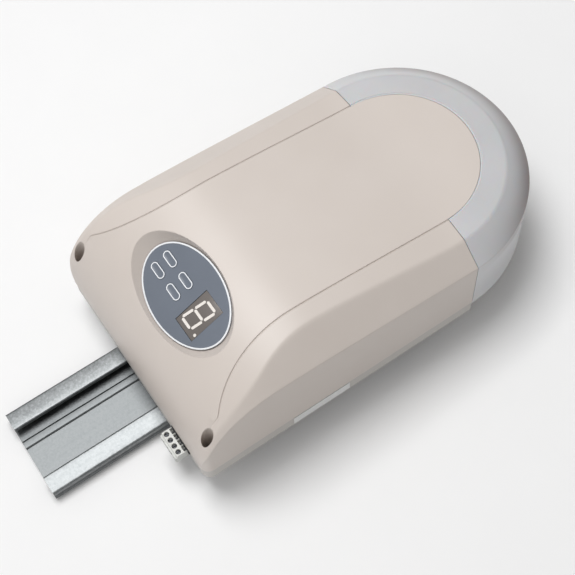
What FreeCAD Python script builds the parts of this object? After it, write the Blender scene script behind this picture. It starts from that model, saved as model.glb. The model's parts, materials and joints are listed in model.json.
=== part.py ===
# Garage door opener head with the near end of its rail.
# Millimetres. +X is the width, -Y the rail end, +Z out of the cover.
# The origin is the middle of the tray's front edge, on its underside.
import FreeCAD, Part
import math
import os

V = FreeCAD.Vector
os.makedirs("parts", exist_ok=True)

# --- Overall sizes -----------------------------------------------------------
HALF_W = 92.5            # half the width of the head
REAR_Y = 225.5           # centre of the rounded rear end
CROWN_Z = 93.5           # highest point of the crown
TRAY_H = 12.3            # height of the tray's visible strip
WALL = 2.6               # wall of the cover and the lens
FLOOR = 2.5              # floor and wall of the tray
CORNER_R = 7.0           # front corners seen from above
TRAY_INSET = 0.4         # the tray stands this far inside the cover's side
LABEL_Y = (72.0, 119.0)  # blank label on the tray's side

# --- Shape of the cover ------------------------------------------------------
NOSE_LEN = 95.0                  # length of the rounded nose
NOSE_Z = TRAY_H + 2.7            # the nose starts to curve here
CROWN_FALL = 0.119               # slope of the crown towards the rear
CROWN_TURN = 25.0                # length over which that slope sets in
SHOULDER_Z = CROWN_Z - 18.7      # highest point of the side's upper edge
SHOULDER_NOSE = 62.0             # length of that edge's own nose
SHOULDER_FALL = 0.080
SHOULDER_TURN = 40.0
SHOULDER_TAN = math.tan(math.radians(40.0))
BAND_X = HALF_W - 35.2           # where the band beside the crown begins
BAND_TAN = math.tan(math.radians(7.0))
BAND_LEAD = 4.6                  # lets the band run outwards at the nose
GROOVE_W = 1.1
GROOVE_D = 0.8
SEAM = 0.35                      # gap between the cover and the lens

# --- Control panel, in its own tilted frame ----------------------------------
PANEL_FOOT = 47.0                # crown point straight above the panel
PANEL_DEPTH = 8.0                # depth of the panel under that point
PANEL_RX = 42.6
PANEL_RY = 27.8
PANEL_T = 1.6
PAN_T = 2.0                      # floor of the cover's recess
RING_W = 1.2
BUTTON_L = 14.2
BUTTON_W = 6.4
BUTTON_GAP = 0.4
BUTTON_TRAVEL = 0.8
BUTTONS_AT = -18.0               # middle of the four buttons
BUTTON_X = 10.0
BUTTON_Y = 5.8
DISPLAY_X = 17.9
DISPLAY_Y = -0.9
DISPLAY_W = 20.2
DISPLAY_H = 29.0
DIGIT_H = 20.6
DIGIT_W = 11.0
DIGIT_SLANT = math.tan(math.radians(10.0))
BOARD_T = 1.6
PANEL_BOARD_DROP = 9.0           # panel board's upper face under the panel

# --- Drive -------------------------------------------------------------------
DRIVE_Y = 0.532 * REAR_Y         # output shaft
MODULE = 1.5
WHEEL_TEETH = 40
WORM_R = 6.0 * MODULE            # pitch radius of the worm
WORM_TURNS = 7
WORM_HALF = 0.5 * math.pi * MODULE * WORM_TURNS + 2.0
WHEEL_R = MODULE * WHEEL_TEETH / 2.0
WORM_X = WHEEL_R + WORM_R
WORM_Z = 30.0
WHEEL_FACE = 12.0
SHAFT_R = 6.0
MOTOR_R = 21.0
MOTOR_L = 72.0
WORM_SHAFT_R = 4.0
RUN = 0.05                       # radial clearance of a running fit
CLEAR = 0.5                      # clearance between parts that pass
BEARING_T = 8.0
BEARING_R = SHAFT_R + 8.0
SPROCKET_TEETH = 16
CHAIN_PITCH = 6.35
SPROCKET_T = 2.8

# --- Rail and chassis --------------------------------------------------------
CHASSIS_T = 2.0
RAIL_X = 36.0                    # half the width of the rail
RAIL_TOP = -9.5
RAIL_H = 11.0
RAIL_T = 1.4
RAIL_LIP = 15.2
RAIL_FRONT = -92.0
RAIL_REAR = REAR_Y - 30.5
CLAMP_W = 22.0
CLAMP_T = 2.0
CLAMP_FOOT = 20.0
CLAMP_Y = (26.0, RAIL_REAR - 17.0)
CHASSIS_X = RAIL_X + CLAMP_FOOT + 6.0
CHASSIS_Y = (8.0, RAIL_REAR + 10.0)
BOLT_R = 3.0
BOLT_GAP = 0.3
MOUNT_X = CHASSIS_X - 8.0
MOUNT_Y = (CLAMP_Y[0] + 44.0, CLAMP_Y[1] - 38.0)
MOUNT_R = 4.2

# --- Boards and power --------------------------------------------------------
POLE = 5.08                      # pitch of the terminal block
POLES = 4
TERMINAL_X = HALF_W - 33.5
TERMINAL_TOP = 10.4
BOARD_Z = 14.0
BOARD_X = HALF_W - 17.0
BOARD_Y = (10.0, DRIVE_Y - 53.0)
TRANSFORMER_X = -(HALF_W - 29.6)
TRANSFORMER_Y = REAR_Y - 45.0
TRANSFORMER_Z = 10.0
GLAND_R = 7.0
GLAND_BORE = 3.4
GLAND_AT = (-30.0, CHASSIS_Y[1] + 15.0)
SCREW_X = HALF_W - 8.1
SCREW_Y = 11.1
SCREW_SEAT = 24.0
LAMP_Z = 30.0
LEDS = 12


# --- Small helpers -----------------------------------------------------------
def box(x0, x1, y0, y1, z0, z1):
    return Part.makeBox(x1 - x0, y1 - y0, z1 - z0, V(x0, y0, z0))


def cyl(r, z0, z1, x=0.0, y=0.0):
    return Part.makeCylinder(r, z1 - z0, V(x, y, z0), V(0, 0, 1))


def cyl_y(r, y0, y1, x, z):
    return Part.makeCylinder(r, y1 - y0, V(x, y0, z), V(0, 1, 0))


def fuse(shapes):
    return shapes[0].multiFuse(shapes[1:]).removeSplitter()


def cut(shape, tools):
    return shape.cut(Part.makeCompound(tools)) if len(tools) > 1 else shape.cut(tools[0])


def group(shapes):
    return Part.makeCompound(shapes)


def mirror_x(shape):
    return shape.mirror(V(0, 0, 0), V(1, 0, 0))


def polygon(points):
    return Part.makePolygon([V(*p) for p in points] + [V(*points[0])])


def prism(points, direction):
    return Part.Face(polygon(points)).extrude(V(*direction))


def hexagon(across, z0, z1, x, y):
    r = across / math.sqrt(3.0)
    points = []
    for i in range(6):
        a = math.radians(60.0 * i)
        points.append((x + r * math.cos(a), y + r * math.sin(a), z0))
    return prism(points, (0, 0, z1 - z0))


def stadium(length, width, z0, z1, x=0.0, y=0.0):
    r = width / 2.0
    half = length / 2.0 - r
    middle = box(x - half, x + half, y - r, y + r, z0, z1)
    return fuse([middle, cyl(r, z0, z1, x - half, y), cyl(r, z0, z1, x + half, y)])


def ellipse_wire(rx, ry, z):
    curve = Part.Ellipse(V(0, 0, z), max(rx, ry), min(rx, ry))
    return Part.Wire(curve.toShape())


def ellipse_prism(rx, ry, z0, z1):
    return Part.Face(ellipse_wire(rx, ry, z0)).extrude(V(0, 0, z1 - z0))


def save(name, shape):
    shape.exportStep("parts/" + name + ".step")


# --- Lines that shape the cover ----------------------------------------------
def nose_points(length, lead, z_low, z_high, inset):
    """Quarter of an ellipse rising from the front edge to the crown."""
    points = []
    for i in range(13):
        a = math.pi / 2.0 * i / 12.0
        y = length - (length + lead - inset) * math.cos(a)
        z = z_low + (z_high - inset - z_low) * math.sin(a)
        points.append((y, z))
    return points


def fall(past, slope, turn):
    return slope * past * past / (past + turn)


def crown_points(inset, lead=0.0):
    points = nose_points(NOSE_LEN, lead, NOSE_Z, CROWN_Z, inset)
    for i in range(1, 9):
        past = (REAR_Y - NOSE_LEN) * i / 8.0
        z = CROWN_Z - inset - fall(past, CROWN_FALL, CROWN_TURN)
        points.append((NOSE_LEN + past, z))
    return points


def crown_z(y, lead=0.0):
    if y >= NOSE_LEN:
        return CROWN_Z - fall(y - NOSE_LEN, CROWN_FALL, CROWN_TURN)
    u = (NOSE_LEN - y) / (NOSE_LEN + lead)
    return NOSE_Z + (CROWN_Z - NOSE_Z) * math.sqrt(max(0.0, 1.0 - u * u))


def shoulder_z(y):
    if y >= SHOULDER_NOSE:
        return SHOULDER_Z - fall(y - SHOULDER_NOSE, SHOULDER_FALL, SHOULDER_TURN)
    u = (SHOULDER_NOSE - y) / SHOULDER_NOSE
    return NOSE_Z + (SHOULDER_Z - NOSE_Z) * math.sqrt(max(0.0, 1.0 - u * u))


def shoulder_points(inset):
    drop = inset / math.cos(math.atan(SHOULDER_TAN))
    points = nose_points(SHOULDER_NOSE, 0.0, NOSE_Z, SHOULDER_Z, 0.0)
    points = [(y + inset * (1.0 - y / SHOULDER_NOSE), z) for y, z in points]
    points = [(y, z - drop * min(1.0, i / 3.0)) for i, (y, z) in enumerate(points)]
    for i in range(1, 9):
        past = (REAR_Y - SHOULDER_NOSE) * i / 8.0
        z = SHOULDER_Z - drop - fall(past, SHOULDER_FALL, SHOULDER_TURN)
        points.append((SHOULDER_NOSE + past, z))
    return points


def curve_edge(points, x):
    curve = Part.BSplineCurve()
    curve.interpolate([V(x, y, z) for y, z in points])
    return curve.toShape()


def closed_face(points, x, corners):
    """Face in the plane x, bounded by the curve and by straight corners."""
    ends = [V(x, *points[-1])] + [V(x, y, z) for y, z in corners] + [V(x, *points[0])]
    edges = [curve_edge(points, x)]
    for a, b in zip(ends[:-1], ends[1:]):
        edges.append(Part.makeLine(a, b))
    return Part.Face(Part.Wire(edges))


def plan(inset, z0, z1, rear_y):
    """Straight-sided front part of the outline, with its rounded corners."""
    x = HALF_W - inset
    r = max(CORNER_R - inset, 1.0)
    shape = box(-x, x, inset, rear_y, z0, z1)
    corners = []
    for edge in shape.Edges:
        a, b = edge.Vertexes[0].Point, edge.Vertexes[-1].Point
        if abs(a.x - b.x) < 1e-6 and abs(a.y - b.y) < 1e-6 and abs(a.y - inset) < 1e-6:
            corners.append(edge)
    return shape.makeFillet(r, corners)


def front_body(inset, z0, rear_y):
    """Solid head in front of the seam, every face set in by the inset."""
    points = crown_points(inset)
    x = HALF_W - inset
    y0, y1 = points[0][0], points[-1][0]
    face = closed_face(points, 0.0, [(y1 + 30.0, points[-1][1]), (y1 + 30.0, z0), (y0, z0)])
    half = face.extrude(V(x, 0, 0))
    half = half.cut(box(-1.0, x + 1.0, rear_y, y1 + 40.0, z0 - 1.0, 300.0))
    for tool in (corner_cut(inset), shoulder_cut(inset), band_cut(inset)):
        half = half.cut(tool)
    return half.fuse(mirror_x(half)).removeSplitter()


def corner_cut(inset):
    """Upright tool that rounds one front corner, a hair clear of tangency."""
    r = max(CORNER_R - inset, 1.0)
    x, y = HALF_W - inset - r, inset + r
    tool = box(x, x + r + 3.0, y - r - 3.0, y, -60.0, 300.0)
    return tool.cut(cyl(r, -61.0, 301.0, x + 0.05, y - 0.05))


def shoulder_cut(inset):
    points = shoulder_points(inset)
    points = [(points[0][0] - 2.0, NOSE_Z - 6.0)] + points + [(REAR_Y + 1.0, points[-1][1])]
    far, top = REAR_Y + 1.0, 3.0 * CROWN_Z
    face = closed_face(points, HALF_W, [(far, top), (-20.0, top), (-20.0, NOSE_Z - 6.0)])
    reach = 0.6 * HALF_W
    tool = face.extrude(V(-reach, 0, reach * SHOULDER_TAN))
    return fuse([tool, face.extrude(V(3.0, 0, 0))])


def band_cut(inset):
    """Everything above the band, its tool begun a little inside the groove."""
    early = 5.0
    points = [(y, z + early * BAND_TAN) for y, z in crown_points(inset, BAND_LEAD)]
    points = points + [(REAR_Y + 1.0, points[-1][1])]
    far, top = REAR_Y + 1.0, 3.0 * CROWN_Z
    face = closed_face(points, BAND_X - early, [(far, top), (points[0][0], top)])
    reach = HALF_W - BAND_X + early + 2.0
    return face.extrude(V(reach, 0, -reach * BAND_TAN))


def rear_profile(inset):
    """Half section of the rounded end: crown, band, shoulder and wall."""
    top = crown_z(REAR_Y) - inset
    edge = shoulder_z(REAR_Y) - inset / math.cos(math.atan(SHOULDER_TAN))
    x_wall = HALF_W - inset
    low = edge + SHOULDER_TAN * inset
    rise = top + BAND_TAN * BAND_X - edge - SHOULDER_TAN * HALF_W
    x_break = rise / (BAND_TAN - SHOULDER_TAN)
    z_break = top - BAND_TAN * (x_break - BAND_X)
    return [(BAND_X, top), (x_break, z_break), (x_wall, low)]


def rear_body(inset, z0):
    profile = rear_profile(inset)
    outline = [(0.0, z0)] + [(0.0, profile[0][1])] + profile + [(profile[-1][0], z0)]
    face = Part.Face(polygon([(x, REAR_Y, z) for x, z in outline]))
    return face.revolve(V(0, REAR_Y, 0), V(0, 0, 1), 180.0)


def groove_x(y):
    lift = crown_z(y, BAND_LEAD) - crown_z(y)
    return min(BAND_X + lift / BAND_TAN, SCREW_X - 2.0)


def groove_strip():
    """Thin upright strip along the line where the band meets the crown."""
    start = SCREW_Y + 12.0
    stations = [start + (REAR_Y + 1.0 - start) * (i / 14.0) ** 1.5 for i in range(15)]
    inner = [V(groove_x(y) - GROOVE_W / 2.0, y, 0) for y in stations]
    outer = [V(groove_x(y) + GROOVE_W / 2.0, y, 0) for y in stations]
    edges = []
    for line in (inner, outer):
        curve = Part.BSplineCurve()
        curve.interpolate(line)
        edges.append(curve.toShape())
    edges.append(Part.makeLine(inner[0], outer[0]))
    edges.append(Part.makeLine(inner[-1], outer[-1]))
    return Part.Face(Part.Wire(Part.__sortEdges__(edges))).extrude(V(0, 0, 200.0))


# --- Control panel -----------------------------------------------------------
def panel_tilt():
    span = PANEL_RY
    rise = crown_z(PANEL_FOOT + span) - crown_z(PANEL_FOOT - span)
    return math.atan2(rise, 2.0 * span) - math.radians(2.2)


def on_panel(shape):
    """Move a shape from the panel's own frame into the head."""
    tilt = panel_tilt()
    centre = V(0, PANEL_FOOT, crown_z(PANEL_FOOT))
    centre = centre - V(0, -math.sin(tilt), math.cos(tilt)) * PANEL_DEPTH
    turn = FreeCAD.Rotation(V(1, 0, 0), math.degrees(tilt))
    moved = shape.copy()
    moved.Placement = FreeCAD.Placement(centre, turn)
    return moved


def button_centres():
    centres = []
    for x in (BUTTONS_AT - BUTTON_X, BUTTONS_AT + BUTTON_X):
        for y in (BUTTON_Y, -BUTTON_Y):
            centres.append((x, y))
    return centres


def recess(grow, z0, z1):
    """Drafted oval pocket around the panel, wider towards the surface."""
    rx, ry = PANEL_RX + 0.3 + grow, PANEL_RY + 0.3 + grow
    low = ellipse_wire(rx, ry, z0)
    high = ellipse_wire(rx + 0.85 * (z1 - z0), ry + 0.40 * (z1 - z0), z1)
    return Part.makeLoft([low, high], True, True)


def panel_plate():
    shape = ellipse_prism(PANEL_RX, PANEL_RY, -PANEL_T, 0.0)
    tools = [ellipse_prism(PANEL_RX + 1.0, PANEL_RY + 1.0, -0.5, 1.0)]
    tools[0] = tools[0].cut(ellipse_prism(PANEL_RX - RING_W, PANEL_RY - RING_W, -0.6, 1.1))
    for x, y in button_centres():
        tools.append(stadium(BUTTON_L + 2 * BUTTON_GAP, BUTTON_W + 2 * BUTTON_GAP, -5, 5, x, y))
    x, y = DISPLAY_X, DISPLAY_Y
    w, h = DISPLAY_W / 2.0 + 0.3, DISPLAY_H / 2.0 + 0.3
    tools.append(box(x - w, x + w, y - h, y + h, -5.0, 5.0))
    return on_panel(cut(shape, tools))


def panel_ring():
    outer = ellipse_prism(PANEL_RX, PANEL_RY, -0.5, 0.3)
    inner = ellipse_prism(PANEL_RX - RING_W, PANEL_RY - RING_W, -1.0, 1.0)
    return on_panel(outer.cut(inner))


def button(x, y):
    top = stadium(BUTTON_L, BUTTON_W, -PANEL_T - 0.1, 0.4, x, y)
    flange = stadium(BUTTON_L + 2.0, BUTTON_W + 2.0, -PANEL_T - 1.3, -PANEL_T - 0.05, x, y)
    stem_foot = -PANEL_BOARD_DROP + 3.4 + BUTTON_TRAVEL + 0.1
    stem = cyl(1.8, stem_foot, -PANEL_T - 1.0, x, y)
    return on_panel(fuse([top, flange, stem]))


def panel_switches():
    shapes = []
    for x, y in button_centres():
        z = -PANEL_BOARD_DROP
        base = box(x - 3.0, x + 3.0, y - 3.0, y + 3.0, z, z + 2.9)
        shapes.append(on_panel(fuse([base, cyl(1.7, z + 2.5, z + 3.4, x, y)])))
    return group(shapes)


def panel_board():
    z1 = -PANEL_BOARD_DROP
    shape = ellipse_prism(PANEL_RX - 4.5, PANEL_RY - 4.5, z1 - BOARD_T, z1)
    pins = [cyl(1.7, z1 - 5.0, z1 + 1.0, x, y) for x, y in pan_posts()]
    return on_panel(cut(shape, pins))


def pan_posts():
    x = PANEL_RX - 10.5
    return [(x, 7.5), (x, -7.5), (-2.0, PANEL_RY - 8.0), (-2.0, 8.0 - PANEL_RY)]


def display_module():
    x, y = DISPLAY_X, DISPLAY_Y
    w, h = DISPLAY_W / 2.0, DISPLAY_H / 2.0
    return on_panel(box(x - w, x + w, y - h, y + h, -PANEL_BOARD_DROP, -0.3))


def segment(x0, y0, x1, y1, width):
    """Pointed bar between two corners of the figure eight."""
    dx, dy = x1 - x0, y1 - y0
    length = math.hypot(dx, dy)
    ux, uy = dx / length, dy / length
    outline = []
    for along, across in ((0.6, 0.0), (1.4, 0.5), (-1.4, 0.5), (-0.6, 0.0), (-1.4, -0.5), (1.4, -0.5)):
        base = along if along > 0 else length + along
        px = x0 + ux * base - uy * across * width
        py = y0 + uy * base + ux * across * width
        outline.append((px, py, -0.3))
    return prism(outline, (0, 0, 0.35))


def display_segments():
    cx, cy = DISPLAY_X, DISPLAY_Y
    rows = [-DIGIT_H / 2.0, 0.0, DIGIT_H / 2.0]
    nodes = {}
    for r, v in enumerate(rows):
        for c in (0, 1):
            x = cx - 0.5 + (c - 0.5) * DIGIT_W + v * DIGIT_SLANT
            nodes[(r, c)] = (x, cy + v)
    bars = []
    for r in range(3):
        bars.append(segment(*nodes[(r, 0)], *nodes[(r, 1)], 2.0))
    for r in range(2):
        for c in (0, 1):
            bars.append(segment(*nodes[(r, c)], *nodes[(r + 1, c)], 2.0))
    bars.append(cyl(1.1, -0.3, 0.05, cx + DISPLAY_W / 2.0 - 1.6, cy - DIGIT_H / 2.0))
    return group([on_panel(bar) for bar in bars])


# --- Housing -----------------------------------------------------------------
def main_cover():
    outer = front_body(0.0, TRAY_H, REAR_Y - SEAM / 2.0)
    inner = front_body(WALL, TRAY_H - 30.0, REAR_Y + 20.0)
    shell = outer.cut(inner)
    top = crown_z(REAR_Y)
    skirt = cyl(BAND_X - SEAM / 2.0, top - 9.0, top, 0, REAR_Y)
    skirt = skirt.cut(cyl(BAND_X - SEAM / 2.0 - WALL, top - 20.0, top - WALL, 0, REAR_Y))
    tongue = skirt.common(box(-HALF_W, HALF_W, REAR_Y - 1.0, REAR_Y + HALF_W, 0, top + 1))
    pan = on_panel(recess(WALL, -PANEL_T - PAN_T, 20.0)).common(outer)
    bosses = [cyl(6.5, TRAY_H + 2.0, 80.0, side * SCREW_X, SCREW_Y).common(outer) for side in (1, -1)]
    posts = []
    for x, y in pan_posts():
        low = -PANEL_BOARD_DROP
        posts.append(cyl(3.0, low, -PANEL_T - 0.5, x, y))
        posts.append(cyl(1.5, low - BOARD_T - 1.0, low + 0.5, x, y))
    shape = fuse([shell, tongue, pan] + bosses + [on_panel(post) for post in posts])
    tools = [on_panel(recess(0.0, -PANEL_T, 30.0))]
    for x, y in button_centres():
        tools.append(on_panel(stadium(BUTTON_L + 3.2, BUTTON_W + 3.0, -9, 3, x, y)))
    x, y = DISPLAY_X, DISPLAY_Y
    w, h = DISPLAY_W / 2.0 + 0.4, DISPLAY_H / 2.0 + 0.4
    tools.append(on_panel(box(x - w, x + w, y - h, y + h, -9.0, 3.0)))
    for side in (1, -1):
        tools.append(cyl(4.7, SCREW_SEAT, 120.0, side * SCREW_X, SCREW_Y))
        tools.append(cyl(2.3, 0.0, 60.0, side * SCREW_X, SCREW_Y))
    lowered = outer.copy()
    lowered.translate(V(0, 0, -GROOVE_D))
    strip = groove_strip()
    for line in (strip, mirror_x(strip)):
        tools.append(line.cut(lowered))
    for tool in tools:
        shape = shape.cut(tool)
    return shape


def lens_ears():
    ears = []
    for angle in (50.0, 130.0):
        a = math.radians(angle)
        r = HALF_W - 10.5
        ears.append((r * math.cos(a), REAR_Y + r * math.sin(a)))
    return ears


def light_lens():
    low = TRAY_H - 1.6
    shell = rear_body(0.0, low).cut(rear_body(WALL, low - 1.0))
    shell = shell.cut(cyl(BAND_X + SEAM / 2.0, 0, 200, 0, REAR_Y))
    shell = shell.cut(box(-HALF_W, HALF_W, REAR_Y - 1, REAR_Y + SEAM / 2.0, 0, 200))
    ears = []
    for x, y in lens_ears():
        ear = cyl(9.0, TRAY_H + 1.0, TRAY_H + 4.0, x, y)
        ears.append(ear.common(rear_body(WALL / 2.0, 0.0)))
    shape = fuse([shell] + ears)
    for x, y in lens_ears():
        shape = shape.cut(cyl(1.9, 0, 40, x, y))
    return shape


def tray_outline(inset, z0, z1):
    front = plan(inset, z0, z1, REAR_Y)
    radius = HALF_W - WALL - 1.2 - inset
    rear = cyl(radius, z0, z1, 0, REAR_Y)
    rear = rear.common(box(-HALF_W, HALF_W, REAR_Y, REAR_Y + HALF_W, z0, z1))
    return front.fuse(rear)


def tray_posts():
    """Height, radius and pilot radius of every post on the tray's floor."""
    posts = []
    for side in (1, -1):
        posts.append((side * SCREW_X, SCREW_Y, TRAY_H + 2.0, 4.4, 1.8))
    for x, y in board_holes():
        posts.append((x, y, BOARD_Z, 3.5, 1.2))
    for x, y in lens_ears():
        posts.append((x, y, TRAY_H + 1.0, 4.0, 1.2))
    for x, y in lamp_holes():
        posts.append((x, y, LAMP_Z, 3.5, 1.2))
    for x, y in transformer_holes():
        posts.append((x, y, TRANSFORMER_Z, 4.5, 1.2))
    posts.append((WORM_X, ENCODER_Y, 13.0, 4.5, 1.2))
    return posts


def base_tray():
    shape = tray_outline(TRAY_INSET, 0.0, TRAY_H).cut(tray_outline(TRAY_INSET + FLOOR, FLOOR, TRAY_H + 1.0))
    lip = plan(WALL + 0.3, TRAY_H - 3.0, TRAY_H + 3.5, REAR_Y - 8.0)
    lip = lip.cut(plan(WALL + 2.0, TRAY_H - 4.0, TRAY_H + 4.0, REAR_Y))
    lip = lip.cut(box(-HALF_W, HALF_W, -1.0, CORNER_R + 16.0, 0, 40))
    parts = [shape, lip]
    for x, y, z, r, _ in tray_posts():
        parts.append(cyl(r, FLOOR - 0.5, z, x, y))
    shape = fuse(parts)
    tools = [cyl(r, 1.0, z + 1.0, x, y) for x, y, z, _, r in tray_posts()]
    tools.append(cyl(SHAFT_R + 10.0, -1.0, FLOOR + 1.0, 0, DRIVE_Y))
    tools += [cyl(BOLT_R + BOLT_GAP, -1, FLOOR + 1, x, y) for x, y in gearbox_holes()]
    tools += [cyl(BOLT_R + BOLT_GAP, -1, FLOOR + 1, x, y) for x, y in clamp_holes()]
    tools += [cyl(6.3, FLOOR, FLOOR + 6, x, y) for x, y in clamp_holes()]
    tools += [cyl(8.5, -1, FLOOR + 5, x, y) for x, y in mount_holes()]
    tools.append(cyl(GLAND_R + BOLT_GAP, -1, FLOOR + 1, *GLAND_AT))
    half = POLE * POLES / 2.0 + 1.4
    tools.append(box(TERMINAL_X - half, TERMINAL_X + half, -2.0, FLOOR + 3.0, FLOOR, 11.4))
    for i in range(6):
        tools.append(stadium(14.0, 3.0, -1.0, FLOOR + 1.0, HALF_W - 15.0, REAR_Y - 24.0 - 7.0 * i))
    for tool in tools:
        shape = shape.cut(tool)
    return shape


def cable_gland():
    x, y = GLAND_AT
    body = fuse([
        cyl(GLAND_R, -1.0, FLOOR + 1.0, x, y),
        cyl(GLAND_R + 2.5, -2.0, 0.0, x, y),
        cyl(GLAND_R - 1.0, -9.0, -1.0, x, y),
        hexagon(2.0 * GLAND_R + 3.0, FLOOR, FLOOR + 4.0, x, y),
    ])
    return body.cut(cyl(GLAND_BORE, -12.0, 12.0, x, y))


def side_label():
    return box(HALF_W - TRAY_INSET, HALF_W - 0.1, *LABEL_Y, 1.6, TRAY_H - 1.6)


# --- Chassis and rail --------------------------------------------------------
def clamp_holes():
    return [(side * (RAIL_X + 12.0), y) for side in (1, -1) for y in CLAMP_Y]


def mount_holes():
    return [(side * MOUNT_X, y) for side in (1, -1) for y in MOUNT_Y]


def gearbox_holes():
    return [(side * 14.0, DRIVE_Y + end * GEARBOX_BOLT_Y) for side in (1, -1) for end in (1, -1)]


def chassis_plate():
    shape = box(-CHASSIS_X, CHASSIS_X, *CHASSIS_Y, -CHASSIS_T, 0.0)
    tools = [cyl(SHAFT_R + 10.0, -5, 5, 0, DRIVE_Y)]
    tools += [cyl(BOLT_R + BOLT_GAP, -5, 5, x, y) for x, y in gearbox_holes() + clamp_holes()]
    tools += [cyl(MOUNT_R, -5, 5, x, y) for x, y in mount_holes()]
    return cut(shape, tools)


def mounting_nuts():
    nuts = []
    for x, y in mount_holes():
        nut = hexagon(13.0, 0.0, 6.0, x, y)
        nuts.append(nut.cut(cyl(MOUNT_R - 0.2, -1, 8, x, y)))
    return group(nuts)


def rail_spacers():
    top = -CHASSIS_T
    shapes = []
    for side in (1, -1):
        x = side * (RAIL_X - 0.5 * RAIL_LIP + 0.4)
        shapes.append(box(x - 6.0, x + 6.0, 12.0, RAIL_REAR - 2.0, RAIL_TOP, top))
    return group(shapes)


def rail_section():
    """Open section of the rail, slot upwards, with turned-in lips."""
    x, t = RAIL_X, RAIL_T
    z1, z0 = RAIL_TOP, RAIL_TOP - RAIL_H
    lip = x - RAIL_LIP
    bead = 1.0
    half = [
        (x, z0), (x, z1), (lip, z1), (lip, z1 - 2.6), (lip + t, z1 - 2.6),
        (lip + t, z1 - t), (x - t, z1 - t), (x - t, z0 + t),
    ]
    left = [(-px, pz) for px, pz in reversed(half)]
    floor = [(-14.2, z0 + t), (-13.2, z0 + t + bead), (-8.5, z0 + t + bead), (-7.5, z0 + t)]
    return half + list(reversed(floor)) + left


def rail():
    points = [(px, RAIL_FRONT, pz) for px, pz in rail_section()]
    shape = prism(points, (0, RAIL_REAR - RAIL_FRONT, 0))
    edges = []
    for edge in shape.Edges:
        a, b = edge.Vertexes[0].Point, edge.Vertexes[-1].Point
        along = abs(a.x - b.x) < 1e-6 and abs(a.z - b.z) < 1e-6
        if along and abs(a.z - RAIL_TOP) < 1e-6:
            edges.append(edge)
    return shape.makeFillet(1.1, edges)


def rail_clamp(y):
    x0 = RAIL_X + 0.3
    z0 = RAIL_TOP - RAIL_H
    y0, y1 = y - CLAMP_W / 2.0, y + CLAMP_W / 2.0
    foot = x0 + CLAMP_FOOT
    top = -CHASSIS_T
    half = [
        (foot, top), (x0, top), (x0, z0), (-x0, z0), (-x0, top), (-foot, top),
        (-foot, top - CLAMP_T), (-x0 - CLAMP_T, top - CLAMP_T), (-x0 - CLAMP_T, z0 - CLAMP_T),
        (x0 + CLAMP_T, z0 - CLAMP_T), (x0 + CLAMP_T, top - CLAMP_T), (foot, top - CLAMP_T),
    ]
    shape = prism([(px, y0, pz) for px, pz in half], (0, y1 - y0, 0))
    holes = [cyl(BOLT_R + BOLT_GAP, -30, 5, side * (RAIL_X + 12.0), y) for side in (1, -1)]
    return cut(shape, holes)


def clamp_bolts():
    bolts = []
    top = -CHASSIS_T - CLAMP_T
    for x, y in clamp_holes():
        head = hexagon(10.0, top - 4.0, top, x, y)
        bolts.append(fuse([head, cyl(BOLT_R, top - 1.0, FLOOR + 6.0, x, y)]))
    return group(bolts)


def nuts(holes, z0, z1):
    shapes = []
    for x, y in holes:
        shapes.append(hexagon(10.0, z0, z1, x, y).cut(cyl(BOLT_R + 0.05, z0 - 1, z1 + 1, x, y)))
    return group(shapes)


# --- Gearbox -----------------------------------------------------------------
HOUSING_TOP = WORM_Z + WORM_R + 8.0
CAVITY_R = WHEEL_R + MODULE + 2.0
DRUM_R = CAVITY_R + 4.5
GEARBOX_BOLT_Y = DRUM_R + 4.0
CAN_Y = DRIVE_Y + math.sqrt(DRUM_R ** 2 - (WORM_X - MOTOR_R) ** 2) + CLEAR
FLANGE_Y = CAN_Y - 4.0
TUNNEL_Y = DRIVE_Y - WORM_HALF - 7.5
ENCODER_Y = TUNNEL_Y - 8.0


def gearbox_housing():
    reach = GEARBOX_BOLT_Y + 7.0
    base = box(-21.0, 21.0, DRIVE_Y - reach, DRIVE_Y + reach, FLOOR, FLOOR + 6.0)
    drum = cyl(DRUM_R, FLOOR, HOUSING_TOP, 0, DRIVE_Y)
    tunnel = cyl_y(WORM_R + 6.5, TUNNEL_Y, FLANGE_Y, WORM_X, WORM_Z)
    flange = cyl_y(MOTOR_R, FLANGE_Y - 4.0, CAN_Y, WORM_X, WORM_Z)
    shape = base.multiFuse([drum, tunnel, flange])
    tools = [
        cyl(CAVITY_R, FLOOR + BEARING_T + 3.0, HOUSING_TOP + 1.0, 0, DRIVE_Y),
        cyl(BEARING_R, FLOOR + 2.0, FLOOR + BEARING_T + 4.0, 0, DRIVE_Y),
        cyl(SHAFT_R + 2.0, 0, FLOOR + 4.0, 0, DRIVE_Y),
        cyl_y(WORM_R + 2.5, TUNNEL_Y + 6.0, FLANGE_Y - 6.0, WORM_X, WORM_Z),
        cyl_y(WORM_SHAFT_R + 4.0, TUNNEL_Y - 1.0, CAN_Y + 1.0, WORM_X, WORM_Z),
    ]
    tools += [cyl(BOLT_R + BOLT_GAP, 0, 20, x, y) for x, y in gearbox_holes()]
    tools += [cyl(1.3, HOUSING_TOP - 8.0, HOUSING_TOP + 1, x, y) for x, y in cover_holes()]
    for tool in tools:
        shape = shape.cut(tool)
    return shape


def cover_holes():
    r = CAVITY_R + 2.25
    angles = [math.radians(a) for a in (80.0, 160.0, 200.0, 280.0)]
    return [(r * math.cos(a), DRIVE_Y + r * math.sin(a)) for a in angles]


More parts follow.
